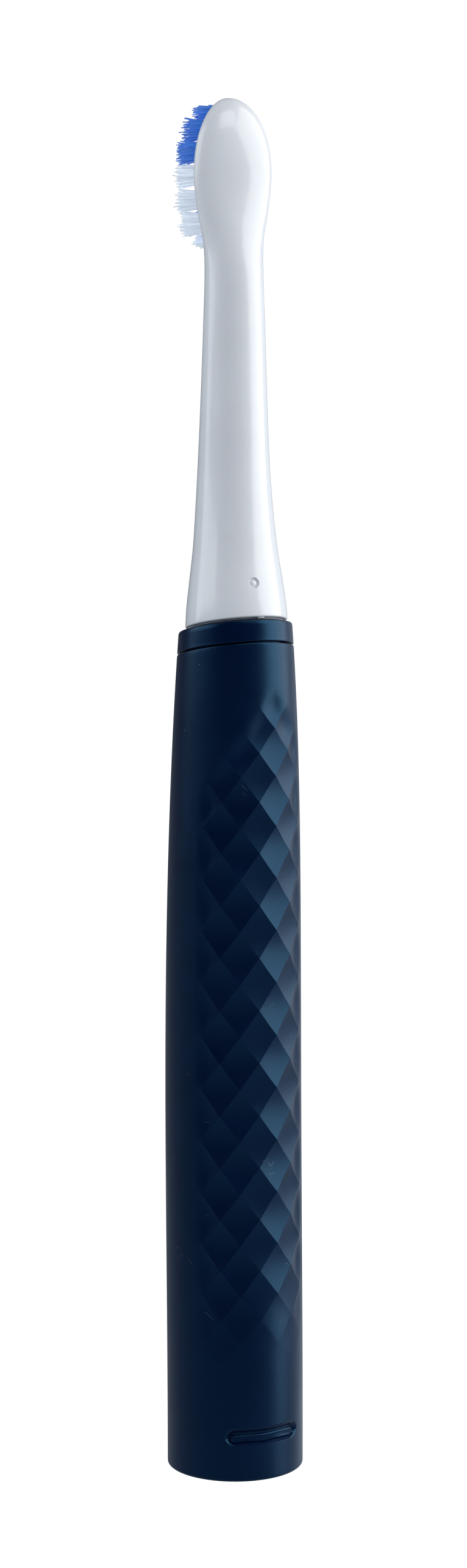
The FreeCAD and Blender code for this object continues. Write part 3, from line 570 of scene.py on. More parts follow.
def build_winding():
    """Turns of round wire, side by side along the axis."""
    tree, inputs, outputs = group_tree(
        "Wire Turns",
        [("Height", "NodeSocketFloat", 0.0), ("Pitch", "NodeSocketFloat", 0.25)],
        [("Round", "NodeSocketFloat"), ("Groove", "NodeSocketFloat")])
    turns = combine(tree, "DIVIDE", inputs.outputs["Height"], inputs.outputs["Pitch"])
    across = combine(tree, "SUBTRACT", combine(tree, "FRACT", turns, 0.0), 0.5)
    square = combine(tree, "MULTIPLY", combine(tree, "MULTIPLY", across, across), 4.0)
    tree.links.new(combine(tree, "SUBTRACT", 1.0, square), outputs.inputs["Round"])
    tree.links.new(to_range(tree, square, 0.55, 1.0, 0.0, 1.0), outputs.inputs["Groove"])


# ---------------------------------------------------------------- finishes
def moulded_plastic(name, colour, roughness, grain=6.0, depth=0.012, dust=0.0, shade=0.85, **values):
    """Moulded plastic with a fine grain, slow changes of gloss and, if asked, dust."""
    material, tree, shader = new_material(name, **values)
    point = object_point(tree)
    effect = placed(tree, "Moulded Grain", Point=point, Scale=grain)
    darker = [value * shade for value in colour]
    surface = mix_colours(tree, to_range(tree, effect["Cloud"], 0.35, 0.65, 0.0, 1.0), darker, colour)
    gloss = to_range(tree, effect["Cloud"], 0.3, 0.7, roughness * 0.9, roughness * 1.12)
    if dust:
        specks = placed(tree, "Dust", Point=point, Amount=dust)["Mask"]
        surface = mix_colours(tree, specks, surface, (0.42, 0.47, 0.55))
        gloss = combine(tree, "MAXIMUM", gloss, combine(tree, "MULTIPLY", specks, 0.8))
    tree.links.new(surface, shader.inputs["Base Color"])
    tree.links.new(gloss, shader.inputs["Roughness"])
    bump(tree, shader, effect["Height"], depth * MM)
    return material


def navy_plastic(name, roughness, gloss=0.5, **values):
    """The navy plastic of the handle's pieces, whose shine is tinted by the colour."""
    return moulded_plastic(name, settings("colours").navy, roughness, Specular_IOR_Level=gloss,
                           Specular_Tint=NAVY_TINT, **values)


def bare_metal(name, colour, roughness, stretch=(1.0, 1.0, 0.05), stain=0.8):
    """Ground or rolled metal with lines along its stretched axis."""
    material, tree, shader = new_material(name, Metallic=1.0)
    effect = placed(tree, "Brushed Lines", Point=object_point(tree, stretch))
    darker = [value * stain for value in colour]
    surface = mix_colours(tree, to_range(tree, effect["Stain"], 0.35, 0.65, 0.0, 1.0), darker, colour)
    tree.links.new(surface, shader.inputs["Base Color"])
    gloss = to_range(tree, effect["Height"], 0.3, 0.7, roughness * 0.75, roughness * 1.25)
    tree.links.new(gloss, shader.inputs["Roughness"])
    bump(tree, shader, effect["Height"], 0.01 * MM)
    return material


def wound_wire(name, colour, pitch):
    """Enamelled wire wound in turns along Z, with painted shade in the grooves between turns."""
    material, tree, shader = new_material(name, Metallic=0.6, Coat_Weight=0.6)
    point = object_point(tree)
    split = tree.nodes.new("ShaderNodeSeparateXYZ")
    tree.links.new(point, split.inputs[0])
    effect = placed(tree, "Wire Turns", Height=split.outputs["Z"], Pitch=pitch)
    # Painted shade: the grooves between the turns are painted darker, where shade falls.
    darker = [value * 0.25 for value in colour]
    surface = mix_colours(tree, effect["Groove"], colour, darker)
    tree.links.new(surface, shader.inputs["Base Color"])
    gloss = to_range(tree, noise(tree, point, 1.5), 0.3, 0.7, 0.25, 0.4)
    tree.links.new(gloss, shader.inputs["Roughness"])
    bump(tree, shader, effect["Round"], 0.05 * MM)
    return material


def stacked_sheet(name, colour):
    """Punched steel sheets stacked along Z."""
    material, tree, shader = new_material(name, Metallic=0.9)
    point = object_point(tree)
    split = tree.nodes.new("ShaderNodeSeparateXYZ")
    tree.links.new(point, split.inputs[0])
    effect = placed(tree, "Wire Turns", Height=split.outputs["Z"], Pitch=0.35)
    surface = mix_colours(tree, effect["Groove"], colour, [value * 0.3 for value in colour])
    tree.links.new(surface, shader.inputs["Base Color"])
    tree.links.new(to_range(tree, noise(tree, point, 2.0), 0.3, 0.7, 0.4, 0.6), shader.inputs["Roughness"])
    bump(tree, shader, effect["Round"], 0.02 * MM)
    return material


def solder_mask(name, colour):
    """Board with traces that show through the mask."""
    material, tree, shader = new_material(name, Coat_Weight=0.5)
    point = object_point(tree, (1.0, 1.0, 0.6))
    cells = add_node(tree, "ShaderNodeTexVoronoi", distance="MANHATTAN", feature="DISTANCE_TO_EDGE",
                     Scale=0.45)
    tree.links.new(point, cells.inputs["Vector"])
    traces = to_range(tree, cells.outputs["Distance"], 0.07, 0.10, 1.0, 0.0)
    lighter = [min(value * 2.2 + 0.02, 1.0) for value in colour]
    tree.links.new(mix_colours(tree, traces, colour, lighter), shader.inputs["Base Color"])
    tree.links.new(to_range(tree, noise(tree, point, 1.0), 0.3, 0.7, 0.3, 0.45), shader.inputs["Roughness"])
    bump(tree, shader, traces, 0.03 * MM)
    return material


def clear_plastic(name, colour, roughness, weight):
    """Clear or smoked plastic, a little cloudy."""
    material, tree, shader = new_material(name, Transmission_Weight=weight, IOR=1.49)
    point = object_point(tree)
    cloud = noise(tree, point, 0.6, 3.0)
    surface = mix_colours(tree, to_range(tree, cloud, 0.35, 0.65, 0.0, 1.0),
                          [value * 0.8 for value in colour], colour)
    tree.links.new(surface, shader.inputs["Base Color"])
    gloss = to_range(tree, cloud, 0.3, 0.7, roughness * 0.8, roughness * 1.3)
    tree.links.new(gloss, shader.inputs["Roughness"])
    bump(tree, shader, noise(tree, point, 4.0), 0.006 * MM)
    return material


def filament(name, root, tip):
    """Nylon filament, each a little different from the next, painted darker at the root as painted shade and
    lighter towards its tip as painted light passing through, with a painted glow of its own colour though it
    is no lamp.
    """
    # The emission makes a painted glow, standing in for light passing through the nylon.
    material, tree, shader = new_material(name, Emission_Strength=0.22)
    point = tree.nodes.new("ShaderNodeTexCoord")
    split = tree.nodes.new("ShaderNodeSeparateXYZ")
    tree.links.new(point.outputs["Object"], split.inputs[0])
    low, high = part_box("bristles_core_blue")
    along = to_range(tree, split.outputs["Y"], high.y, low.y, 0.0, 1.0)
    shade = tree.nodes.new("ShaderNodeAttribute")
    shade.attribute_name = "shade"
    # Painted shade and light: darker at the root and lighter towards the tip, standing in for the shade
    # inside the tuft and the light that passes through the tips.
    colour = mix_colours(tree, along, root, tip)
    deep = mix_colours(tree, 0.3, colour, (0.0, 0.0, 0.0))
    surface = mix_colours(tree, shade.outputs["Fac"], deep, colour)
    tree.links.new(surface, shader.inputs["Base Color"])
    # Painted glow: the filament's own colour is given out as light, though it is no lamp.
    tree.links.new(surface, shader.inputs["Emission Color"])
    tree.links.new(to_range(tree, noise(tree, object_point(tree, (4, 0.4, 4)), 1.0), 0.3, 0.7, 0.3, 0.5),
                   shader.inputs["Roughness"])
    return material


def shade_of(colour, factor):
    return tuple(min(value * factor, 1.0) for value in colour)


# ---------------------------------------------------------------- operators
class TOOTHBRUSH_OT_effects(bpy.types.Operator):
    """Build the shared effects that the finishes use"""
    bl_idname = "toothbrush.effects"
    bl_label = "Shared Effects"

    def execute(self, context):
        build_grain()
        build_dust()
        build_brushing()
        build_winding()
        return {"FINISHED"}


class TOOTHBRUSH_OT_shell(bpy.types.Operator):
    """Build the handle's shell with its sunk grip, latch recess and openings"""
    bl_idname = "toothbrush.shell"
    bl_label = "Handle Shell"

    def phase(self, z):
        """Rows of half cells, counted from a crossing of the ridges."""
        grip = settings("grip")
        rise = z - grip.middle_height
        return rise * (1 + grip.crowding * (rise / (52 * MM)) ** 4) / (grip.cell_height / 2) + 1

    def grip_rows(self, low, high):
        """Heights of mesh rows that keep step with the grip."""
        rows = []
        for index in range(math.ceil(self.phase(low) * GRIP_STEPS), int(self.phase(high) * GRIP_STEPS) + 1):
            below, above = low - MM, high + MM
            for _ in range(40):
                z = (below + above) / 2
                if self.phase(z) * GRIP_STEPS > index:
                    above = z
                else:
                    below = z
            rows.append(below)
        return rows

    def cell_place(self, angle, z):
        """Distances from the nearest cell's middle, along the two ways that the ridges run."""
        column = angle * STEPS / math.tau / GRIP_STEPS
        row = self.phase(z)
        rising = column - row
        falling = column + row
        return rising - 2 * round(rising / 2), falling - 2 * round(falling / 2), column

    def cell_depth(self, angle, z):
        """Depth of the grip at an angle from the back and a height: a dish in every cell."""
        grip = settings("grip")
        rising, falling, column = self.cell_place(angle, z)
        dish = 1 - (rising * rising + falling * falling) / 2
        side = 1 - ease(abs(column), grip.reach - grip.side_fade, grip.reach)
        soft_peak = 0.3
        top = z + grip.top_fall * math.hypot(column - grip.turn, soft_peak)
        upper = 1 - ease(top, grip.top, grip.top + grip.top_fade)
        lower = ease(z, grip.bottom, grip.bottom + grip.bottom_fade)
        return grip.depth * dish * side * upper * lower

    def recess_depth(self, x, z):
        """Depth of the recess round the latch bar, steep below it and soft above it."""
        latch = settings("latch")
        along = abs(x - latch.aside)
        rise = z - latch.height - latch.recess_rise
        straight = latch.recess_half_length - latch.recess_half_height
        inside = latch.recess_half_height - math.hypot(max(along - straight, 0.0), rise)
        wall = 0.4 * MM + 0.75 * MM * ease(rise, -0.4 * MM, 0.8 * MM)
        flat = latch.flatness * max(1 - (along / latch.half_length) ** 2, 0.0)
        return (latch.recess_depth + flat) * ease(inside, 0.0, wall)

    def ridge_side(self, mesh, polygon):
        """Which way to split a face so that it follows the nearest ridge: 1, 2, or 0 off the grip."""
        grip = settings("grip")
        x, y, z = polygon.center
        if len(polygon.vertices) != 4 or not grip.bottom < z < grip.last_row:
            return 0
        angle = math.atan2(-x, y - handle_centre(z))
        rising, falling, column = self.cell_place(angle, z)
        inner_skin = handle_radius(z) - 1.2 * MM
        if abs(column) > grip.reach + 0.2 or math.hypot(x, y) < inner_skin:
            return 0
        start, across = (mesh.vertices[polygon.vertices[corner]].co for corner in (0, 2))
        climbs = (start.x - across.x) * (across.z - start.z) > 0
        return 1 if climbs == (abs(rising) > abs(falling)) else 2

    def follow_ridges(self, shell):
        """Splits the grip's faces along its ridges."""
        edit(shell)
        bpy.ops.mesh.select_mode(type="FACE")
        bpy.ops.mesh.select_all(action="DESELECT")
        leave_edit()
        mesh = shell.data
        marks = mesh.attributes.new("ridge_side", "INT", "FACE")
        marks.data.foreach_set("value", [self.ridge_side(mesh, polygon) for polygon in mesh.polygons])
        for side, method in ((1, "FIXED"), (2, "FIXED_ALTERNATE")):
            marks = mesh.attributes["ridge_side"]
            mesh.polygons.foreach_set("select", [mark.value == side for mark in marks.data])
            bpy.ops.object.mode_set(mode="EDIT")
            bpy.ops.mesh.quads_convert_to_tris(quad_method=method, ngon_method="BEAUTY")
            bpy.ops.mesh.select_all(action="DESELECT")
            leave_edit()
        mesh.attributes.remove(mesh.attributes["ridge_side"])

    def sharpen_ridges(self, shell):
        """Keeps the ridges crisp where two faces meet at more than a slight angle."""
        grip = settings("grip")
        mesh = shell.data
        slight = math.cos(math.radians(7))
        top = grip.top + 5 * MM
        normals = {}
        for polygon in mesh.polygons:
            for key in polygon.edge_keys:
                normals.setdefault(key, []).append(polygon.normal)
        for edge in mesh.edges:
            sides = normals.get(edge.key, ())
            point = mesh.vertices[edge.vertices[0]].co
            if len(sides) == 2 and point.y > 0 and grip.bottom < point.z < top:
                if sides[0].dot(sides[1]) < slight:
                    edge.use_edge_sharp = True

    def outline(self):
        """Outside from the foot to the seam, then the recess for the collar, then the inside."""
        handle = settings("handle")
        seam = handle.seam_height
        latch = settings("latch")
        grip = settings("grip")
        foot_round, top_round = 0.45 * MM, 0.2 * MM
        coarse, fine = 0.8 * MM, 0.12 * MM
        low, high = latch.height - 1.5 * MM, latch.height + 2.3 * MM
        rows = [foot_round + 0.1 * MM] + evenly(1.2 * MM, low - 0.3 * MM, coarse)
        rows += evenly(low, high, fine) + evenly(high + 0.3 * MM, 16.6 * MM, coarse)
        rows += self.grip_rows(17.0 * MM, grip.last_row)
        rows += evenly(grip.last_row + 0.5 * MM, seam - top_round - fine, 0.55 * MM)
        points = arc(handle_radius(0) - foot_round, foot_round, foot_round, -90, 0, 6)
        points += [(handle_radius(z), z) for z in rows]
        points += arc(handle_radius(seam) - top_round, seam - top_round, top_round, 0, 90, 4)
        spigot = handle.seam_radius - 1.35 * MM
        spigot_foot, shelf = seam - 3.3 * MM, seam - 7.0 * MM
        points += [(spigot, seam), (spigot, spigot_foot), (SHAFT_HOLE, spigot_foot), (SHAFT_HOLE, shelf)]
        bore = half_width("base_cap") + 0.1 * MM
        bore_top = 13.05 * MM
        points += [(handle_radius(z) - handle.wall, z) for z in evenly(shelf, bore_top, 12 * MM)]
        points += [(bore, bore_top), (bore, 0.0)]
        return points

    def execute(self, context):
        handle = settings("handle")
        latch = settings("latch")
        shell = lathe("handle_shell_skin", self.outline(), STEPS)

        def place(point):
            radius = math.hypot(point.x, point.y)
            if radius < handle_radius(point.z) - 0.005 * MM:
                return lean_into_slope(point, ease(point.z, 100 * MM, 135 * MM))
            weight = ease(point.z, handle.slope_start, handle.seam_height - 0.6 * MM)
            moved = lean_into_slope(point, weight)
            angle = math.atan2(-point.x, point.y)
            sink = self.cell_depth(angle, moved.z)
            if point.y > 0:
                sink += self.recess_depth(point.x, moved.z)
            scale = sink / radius
            return moved - Vector((point.x * scale, point.y * scale, 0))

        reshape(shell, place)
        gap = 0.15 * MM
        opening = latch.half_height + 0.04 * MM
        window = wrapped("window_cutter", [(0, 1 * MM), (opening, 1 * MM), (opening, -5 * MM), (0, -5 * MM)],
                         32, 1, latch.height, stretch_x=latch.half_length - latch.half_height,
                         aside=latch.aside)
        button = middle("power_button")
        button_radius = half_width("power_button") + gap
        button_cutter = wrapped("button_cutter", [(0, 1 * MM), (button_radius + 0.5 * MM, 1 * MM),
                                                  (button_radius, -0.25 * MM),
                                                  (button_radius, -4 * MM), (0, -4 * MM)],
                                64, -1, button.z)
        lens_low, lens_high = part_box("indicator_lens")
        lens_half = half_width("indicator_lens")
        lens_cutter = wrapped("lens_cutter", [(0, 1 * MM), (lens_half, 1 * MM), (lens_half, -4 * MM),
                                              (0, -4 * MM)],
                              32, -1, (lens_low.z + lens_high.z) / 2,
                              stretch_z=(lens_high.z - lens_low.z) / 2 - lens_half)
        cut_away(shell, window, button_cutter, lens_cutter)
        self.follow_ridges(shell)
        smooth(shell, 50)
        self.sharpen_ridges(shell)
        navy = navy_plastic("Navy Satin", 0.34, 0.75, dust=0.7)
        finish(shell, "handle", "handle_shell", "navy_plastic", navy)
        return {"FINISHED"}


class TOOTHBRUSH_OT_collar(bpy.types.Operator):
    """Build the collar between the handle and the head"""
    bl_idname = "toothbrush.collar"
    bl_label = "Collar"

    def execute(self, context):
        handle = settings("handle")
        low, high = handle.collar_foot, handle.collar_top
        bottom, top = handle_radius(low), handle_radius(high)
        spigot = handle.seam_radius - 1.4 * MM
        lower_round, upper_round = 0.12 * MM, 0.38 * MM
        spigot_foot = low - 2.7 * MM
        profile = [(spigot, spigot_foot), (spigot, low)]
        profile += arc(bottom - lower_round, low + lower_round, lower_round, -90, 0, 4)
        rows = evenly(low + lower_round + 0.08 * MM, high - upper_round - 0.08 * MM, 0.5 * MM)
        profile += [(handle_radius(z), z) for z in rows]
        profile += arc(top - upper_round, high - upper_round, upper_round, 0, 90, 8)
        profile += [(SHAFT_HOLE, high), (SHAFT_HOLE, spigot_foot)]
        collar = lathe("collar_band", profile, 128)
        reshape(collar, lean_into_slope)
        smooth(collar, 40)
        navy = navy_plastic("Navy Collar", 0.30, 0.75)
        finish(collar, "handle", "collar_ring", "navy_plastic", navy)
        return {"FINISHED"}


class TOOTHBRUSH_OT_foot(bpy.types.Operator):
    """Build the foot cap with its charger socket, and the latch bar"""
    bl_idname = "toothbrush.foot"
    bl_label = "Foot and Latch"

    def foot_cap(self):
        socket = MOUNTS["charger_socket"]["dims"]
        radius = socket["r_mm"] * MM
        depth = socket["length_mm"] * MM
        outer = half_width("base_cap")
        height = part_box("base_cap")[1].z
        groove = outer - 1.1 * MM
        profile = [(radius, 0.0), (radius, depth), (0, depth), (0, height), (outer - 2.0 * MM, height),
                   (outer, height), (outer, height - 1.0 * MM), (groove, height - 1.0 * MM),
                   (groove, height - 2.4 * MM), (outer, height - 2.4 * MM), (outer, 0.0),
                   (outer - 0.9 * MM, 0.0), (outer - 1.0 * MM, 0.25 * MM), (outer - 1.5 * MM, 0.25 * MM),
                   (outer - 1.6 * MM, 0.0), (radius + 1.0 * MM, 0.0)]
        cap = lathe("foot_cap", profile, 96)
        latch = settings("latch")
        make_active(cap)
        pocket_half, pocket_back, pocket_height = 7.1 * MM, 5.4 * MM, 3.5 * MM
        deselect_all()
        bpy.ops.mesh.primitive_cube_add(size=1.0, location=(latch.aside, outer, latch.height))
        pocket = named("pocket_cutter")
        pocket.scale = (2 * pocket_half, 2 * (outer - pocket_back), pocket_height)
        bpy.ops.object.transform_apply(location=True, rotation=True, scale=True)
        cut_away(cap, pocket)
        round_edges(cap, 0.12 * MM)
        smooth(cap, 40)
        navy = navy_plastic("Navy Foot", 0.42, grain=5.0, depth=0.02)
        finish(cap, "handle", "base_cap", "navy_plastic", navy)

    def latch_bar(self):
        latch = settings("latch")
        radius = latch.half_height
        edge = 0.26 * MM
        back = -2.0 * MM
        profile = [(0, 0)] + arc(radius - edge, -edge, edge, 90, 0, 4) + [(radius, back), (0, back)]
        bar = wrapped("latch_bar", profile, 32, 1, latch.height, stretch_x=latch.half_length - radius,
                      inset=latch.sink, aside=latch.aside, flatness=latch.flatness)
        outer = half_width("base_cap") - 0.05 * MM
        plate_half, plate_half_height, plate_back = 6.3 * MM, 1.6 * MM, -1.1 * MM
        plate = [(0, 0), (plate_half_height, 0), (plate_half_height, plate_back), (0, plate_back)]
        plate = wrapped("latch_plate", plate, 24, 1, latch.height,
                        stretch_x=plate_half - plate_half_height,
                        inset=settings("handle").foot_radius - outer,
                        aside=latch.aside)
        piece = join("latch_bar", bar, plate)
        smooth(piece, 40)
        navy = navy_plastic("Navy Latch", 0.26, 0.75)
        finish(piece, "latch", "base_latch", "navy_plastic", navy)

    def execute(self, context):
        self.foot_cap()
        self.latch_bar()
        return {"FINISHED"}


class TOOTHBRUSH_OT_controls(bpy.types.Operator):
    """Build the power button and the lamp window"""
    bl_idname = "toothbrush.controls"
    bl_label = "Button and Lamps"

    def execute(self, context):
        centre = middle("power_button")
        radius = half_width("power_button")
        dish = [(radius * share, -0.28 * MM * (1 - share / 0.8) ** 0.5 * (1 - share * 0.3))
                for share in (0.0, 0.15, 0.3, 0.45, 0.6, 0.72)]
        rim = [(radius * 0.8, 0.0), (radius * 0.9, 0.02 * MM), (radius - 0.12 * MM, -0.06 * MM),
               (radius, -0.25 * MM)]
        back = [(radius, -1.2 * MM), (0, -1.2 * MM)]
        button = wrapped("power_button_cap", dish + rim + back, 96, -1, centre.z)
        smooth(button, 45)
        navy = navy_plastic("Navy Button", 0.48, grain=4.0, depth=0.02)
        finish(button, "button", "power_button", "navy_plastic", navy)

        low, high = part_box("indicator_lens")
        half = half_width("indicator_lens")
        edge = 0.1 * MM
        outline = [(0, 0), (half - edge, 0), (half, -edge), (half, -1.6 * MM), (0, -1.6 * MM)]
        window = wrapped("lamp_window", outline, 32, -1, (low.z + high.z) / 2,
                         stretch_z=(high.z - low.z) / 2 - half)
        smooth(window, 45)
        smoked = clear_plastic("Smoked Window", (0.10, 0.13, 0.18), 0.16, 0.35)
        finish(window, "handle", "indicator_lens", "lens", smoked)
        return {"FINISHED"}


def station_value(height, index):
    """Smooth value between the head's stations, by a cubic through their neighbours."""
    stations = HEAD_STATIONS
    last = len(stations) - 1
    at = 0
    while at < last - 1 and height > stations[at + 1][0]:
        at += 1
    low, high = stations[at], stations[at + 1]
    span = high[0] - low[0]
    share = min(max((height - low[0]) / span, 0.0), 1.0)
    before = stations[max(at - 1, 0)]
    after = stations[min(at + 2, last)]
    slope_low = (high[index] - before[index]) / (high[0] - before[0]) * span
    slope_high = (after[index] - low[index]) / (after[0] - low[0]) * span if at < last - 1 else 0.0
    square, cube = share * share, share ** 3
    return ((2 * cube - 3 * square + 1) * low[index] + (cube - 2 * square + share) * slope_low
            + (3 * square - 2 * cube) * high[index] + (cube - square) * slope_high)


def head_section(height):
    """Half width, half depth and forward stand of the head, in millimetres."""
    widest = HEAD_STATIONS[-1]
    if height <= widest[0]:
        return tuple(station_value(height, index) for index in (1, 2, 3))
    rise = (HEAD_TOP - head_foot()) / MM - widest[0]
    share = min((height - widest[0]) / rise, 1.0)
    round_off = math.sqrt(max(1 - share * share, 0.0))
    depth = widest[2] * round_off ** 0.75
    return widest[1] * round_off, depth, widest[3] + 0.75 * (widest[2] - depth)


def head_foot():
    return settings("handle").collar_top + 0.6 * MM


class TOOTHBRUSH_OT_head(bpy.types.Operator):
    """Build the brush head's moulding and the ring in its mouth"""
    bl_idname = "toothbrush.head"
    bl_label = "Brush Head"

    def outline(self):
        """Radii are shares of the section's half width outside, and true radii, below zero, inside."""
        foot = head_foot()
        rise = (HEAD_TOP - foot) / MM
        heights = [0.36, 0.5] + evenly(1.1, 62, 0.75) + evenly(62.6, 76, 0.55)
        heights += [76 + (rise - 76) * math.sin(math.radians(angle)) for angle in evenly(3, 87, 3)]
        base = head_section(0)[0]
        points = arc((base - 0.35) * MM, foot + 0.35 * MM, 0.35 * MM, -90, -15, 5)
        points += [(head_section(height)[0] * MM, foot + height * MM) for height in heights]
        points += [(0.0, HEAD_TOP), (0.0, foot + 29.5 * MM), (3.0 * MM, foot + 29.5 * MM),
                   (3.0 * MM, foot + 20.5 * MM), (6.1 * MM, foot + 5.0 * MM), (7.2 * MM, foot + 5.0 * MM),
                   (7.2 * MM, foot)]
        return points

    def place(self, point):
        handle = settings("handle")
        foot = head_foot()
        height = (point.z - foot) / MM
        weight = 1 - ease(height, 8.0, 30.0)
        lean = point.y * math.tan(handle.seam_slope) * weight
        radius = math.hypot(point.x, point.y)
        width = head_section(height)[0]
        if radius < (width - 0.45) * MM and height < 30 and radius < 7.3 * MM:
            return Vector((point.x, point.y, point.z + lean * ease(8 - height, 0, 4)))
        moved = (point.z + lean - foot) / MM
        new_width, new_depth, new_forward = head_section(moved)
        share = radius / (width * MM) if width > 0 else 0.0
        side_x = point.x / radius if radius > 0 else 0.0
        side_y = point.y / radius if radius > 0 else 0.0
        x = side_x * share * new_width
        y = side_y * share * new_depth - new_forward
        y = self.flatten_front(y, moved)
        return Vector((x * MM, y * MM, foot + moved * MM))

    def flatten_front(self, y, height):
        """Presses the front of the paddle flat, with a smooth ramp from the neck."""
        plane = -3.4 - 6.4 * (1 - ease(height, 55.0, 65.0))
        softness = 0.22
        rise = (y - plane) / softness
        if rise > 30:
            return y
        return plane + softness * math.log1p(math.exp(max(rise, -30.0)))

    def gate_cutter(self):
        """Ring groove and nub of the moulding gate, on the back of the neck."""
        profile = [(0, 1.0), (0.98, 1.0), (0.98, -0.22), (0.84, -0.38), (0.58, -0.38), (0.36, -0.16),
                   (0, -0.10)]
        cutter = lathe("gate_cutter", [(radius * MM, depth * MM) for radius, depth in profile], 32)
        height = 7.6
        _, depth, forward = head_section(height)
        _, depth_above, forward_above = head_section(height + 1)
        tilt = math.atan((depth - forward) - (depth_above - forward_above))
        make_active(cutter)
        cutter.rotation_euler = (-math.pi / 2 + tilt, 0, 0)
        cutter.location = (0, (depth - forward) * MM, head_foot() + height * MM)
        bpy.ops.object.transform_apply(location=True, rotation=True, scale=True)
        return cutter

    def execute(self, context):
        head = lathe("head_moulding", self.outline(), 112)
        reshape(head, self.place)
        cut_away(head, self.gate_cutter())
        smooth(head, 40)
        white = moulded_plastic("White Head", settings("colours").white, 0.33, grain=4.0, depth=0.006,
                                shade=0.97, Coat_Weight=0.9, Coat_Roughness=0.10,
                                Subsurface_Weight=0.12, Subsurface_Scale=1.5 * MM)
        finish(head, "brush_head", "head_shell", "white_plastic", white)
        self.seat_ring()
        return {"FINISHED"}

    def seat_ring(self):
        """Clear ring in the mouth of the head, which shows in the gap above the collar."""
        foot = head_foot()
        lip, plug, mouth, hole = 8.15 * MM, 7.15 * MM, 6.25 * MM, 2.6 * MM
        low, seat = foot - 0.34 * MM, foot - 0.02 * MM
        ceiling, top = foot + 3.6 * MM, foot + 4.9 * MM
        profile = [(lip, low), (lip, seat), (plug, seat), (plug, top), (hole, top), (hole, ceiling),
                   (mouth, ceiling), (mouth, low)]
        ring = lathe("head_seat_ring", profile, 96)
        deselect_all()
        bpy.ops.mesh.primitive_cube_add(size=1.0, location=(-1.2 * MM, 8.45 * MM, foot - 0.2 * MM))
        tab = named("moulding_tab")
        tab.scale = (1.15 * MM, 1.1 * MM, 0.34 * MM)
        bpy.ops.object.transform_apply(location=True, rotation=True, scale=True)
        for vertex, push in zip(tab.data.vertices, (0.0, 0.12, 0.05, 0.2, 0.1, 0.0, 0.16, 0.04)):
            vertex.co.x += push * MM
            vertex.co.y -= push * MM
        round_edges(tab, 0.07 * MM, 2)
        ring = join("head_seat_ring", ring, tab)
        slope = math.tan(settings("handle").seam_slope)

        def place(point):
            weight = 1 - ease(point.z, foot, foot + 3 * MM)
            return Vector((point.x, point.y, point.z + point.y * slope * weight))

        reshape(ring, place)
        round_edges(ring, 0.06 * MM, 1)
        smooth(ring, 40)
        clear = clear_plastic("Clear Ring", (0.72, 0.78, 0.88), 0.18, 0.25)
        finish(ring, "brush_head", "head_insert", "clear_plastic", clear)


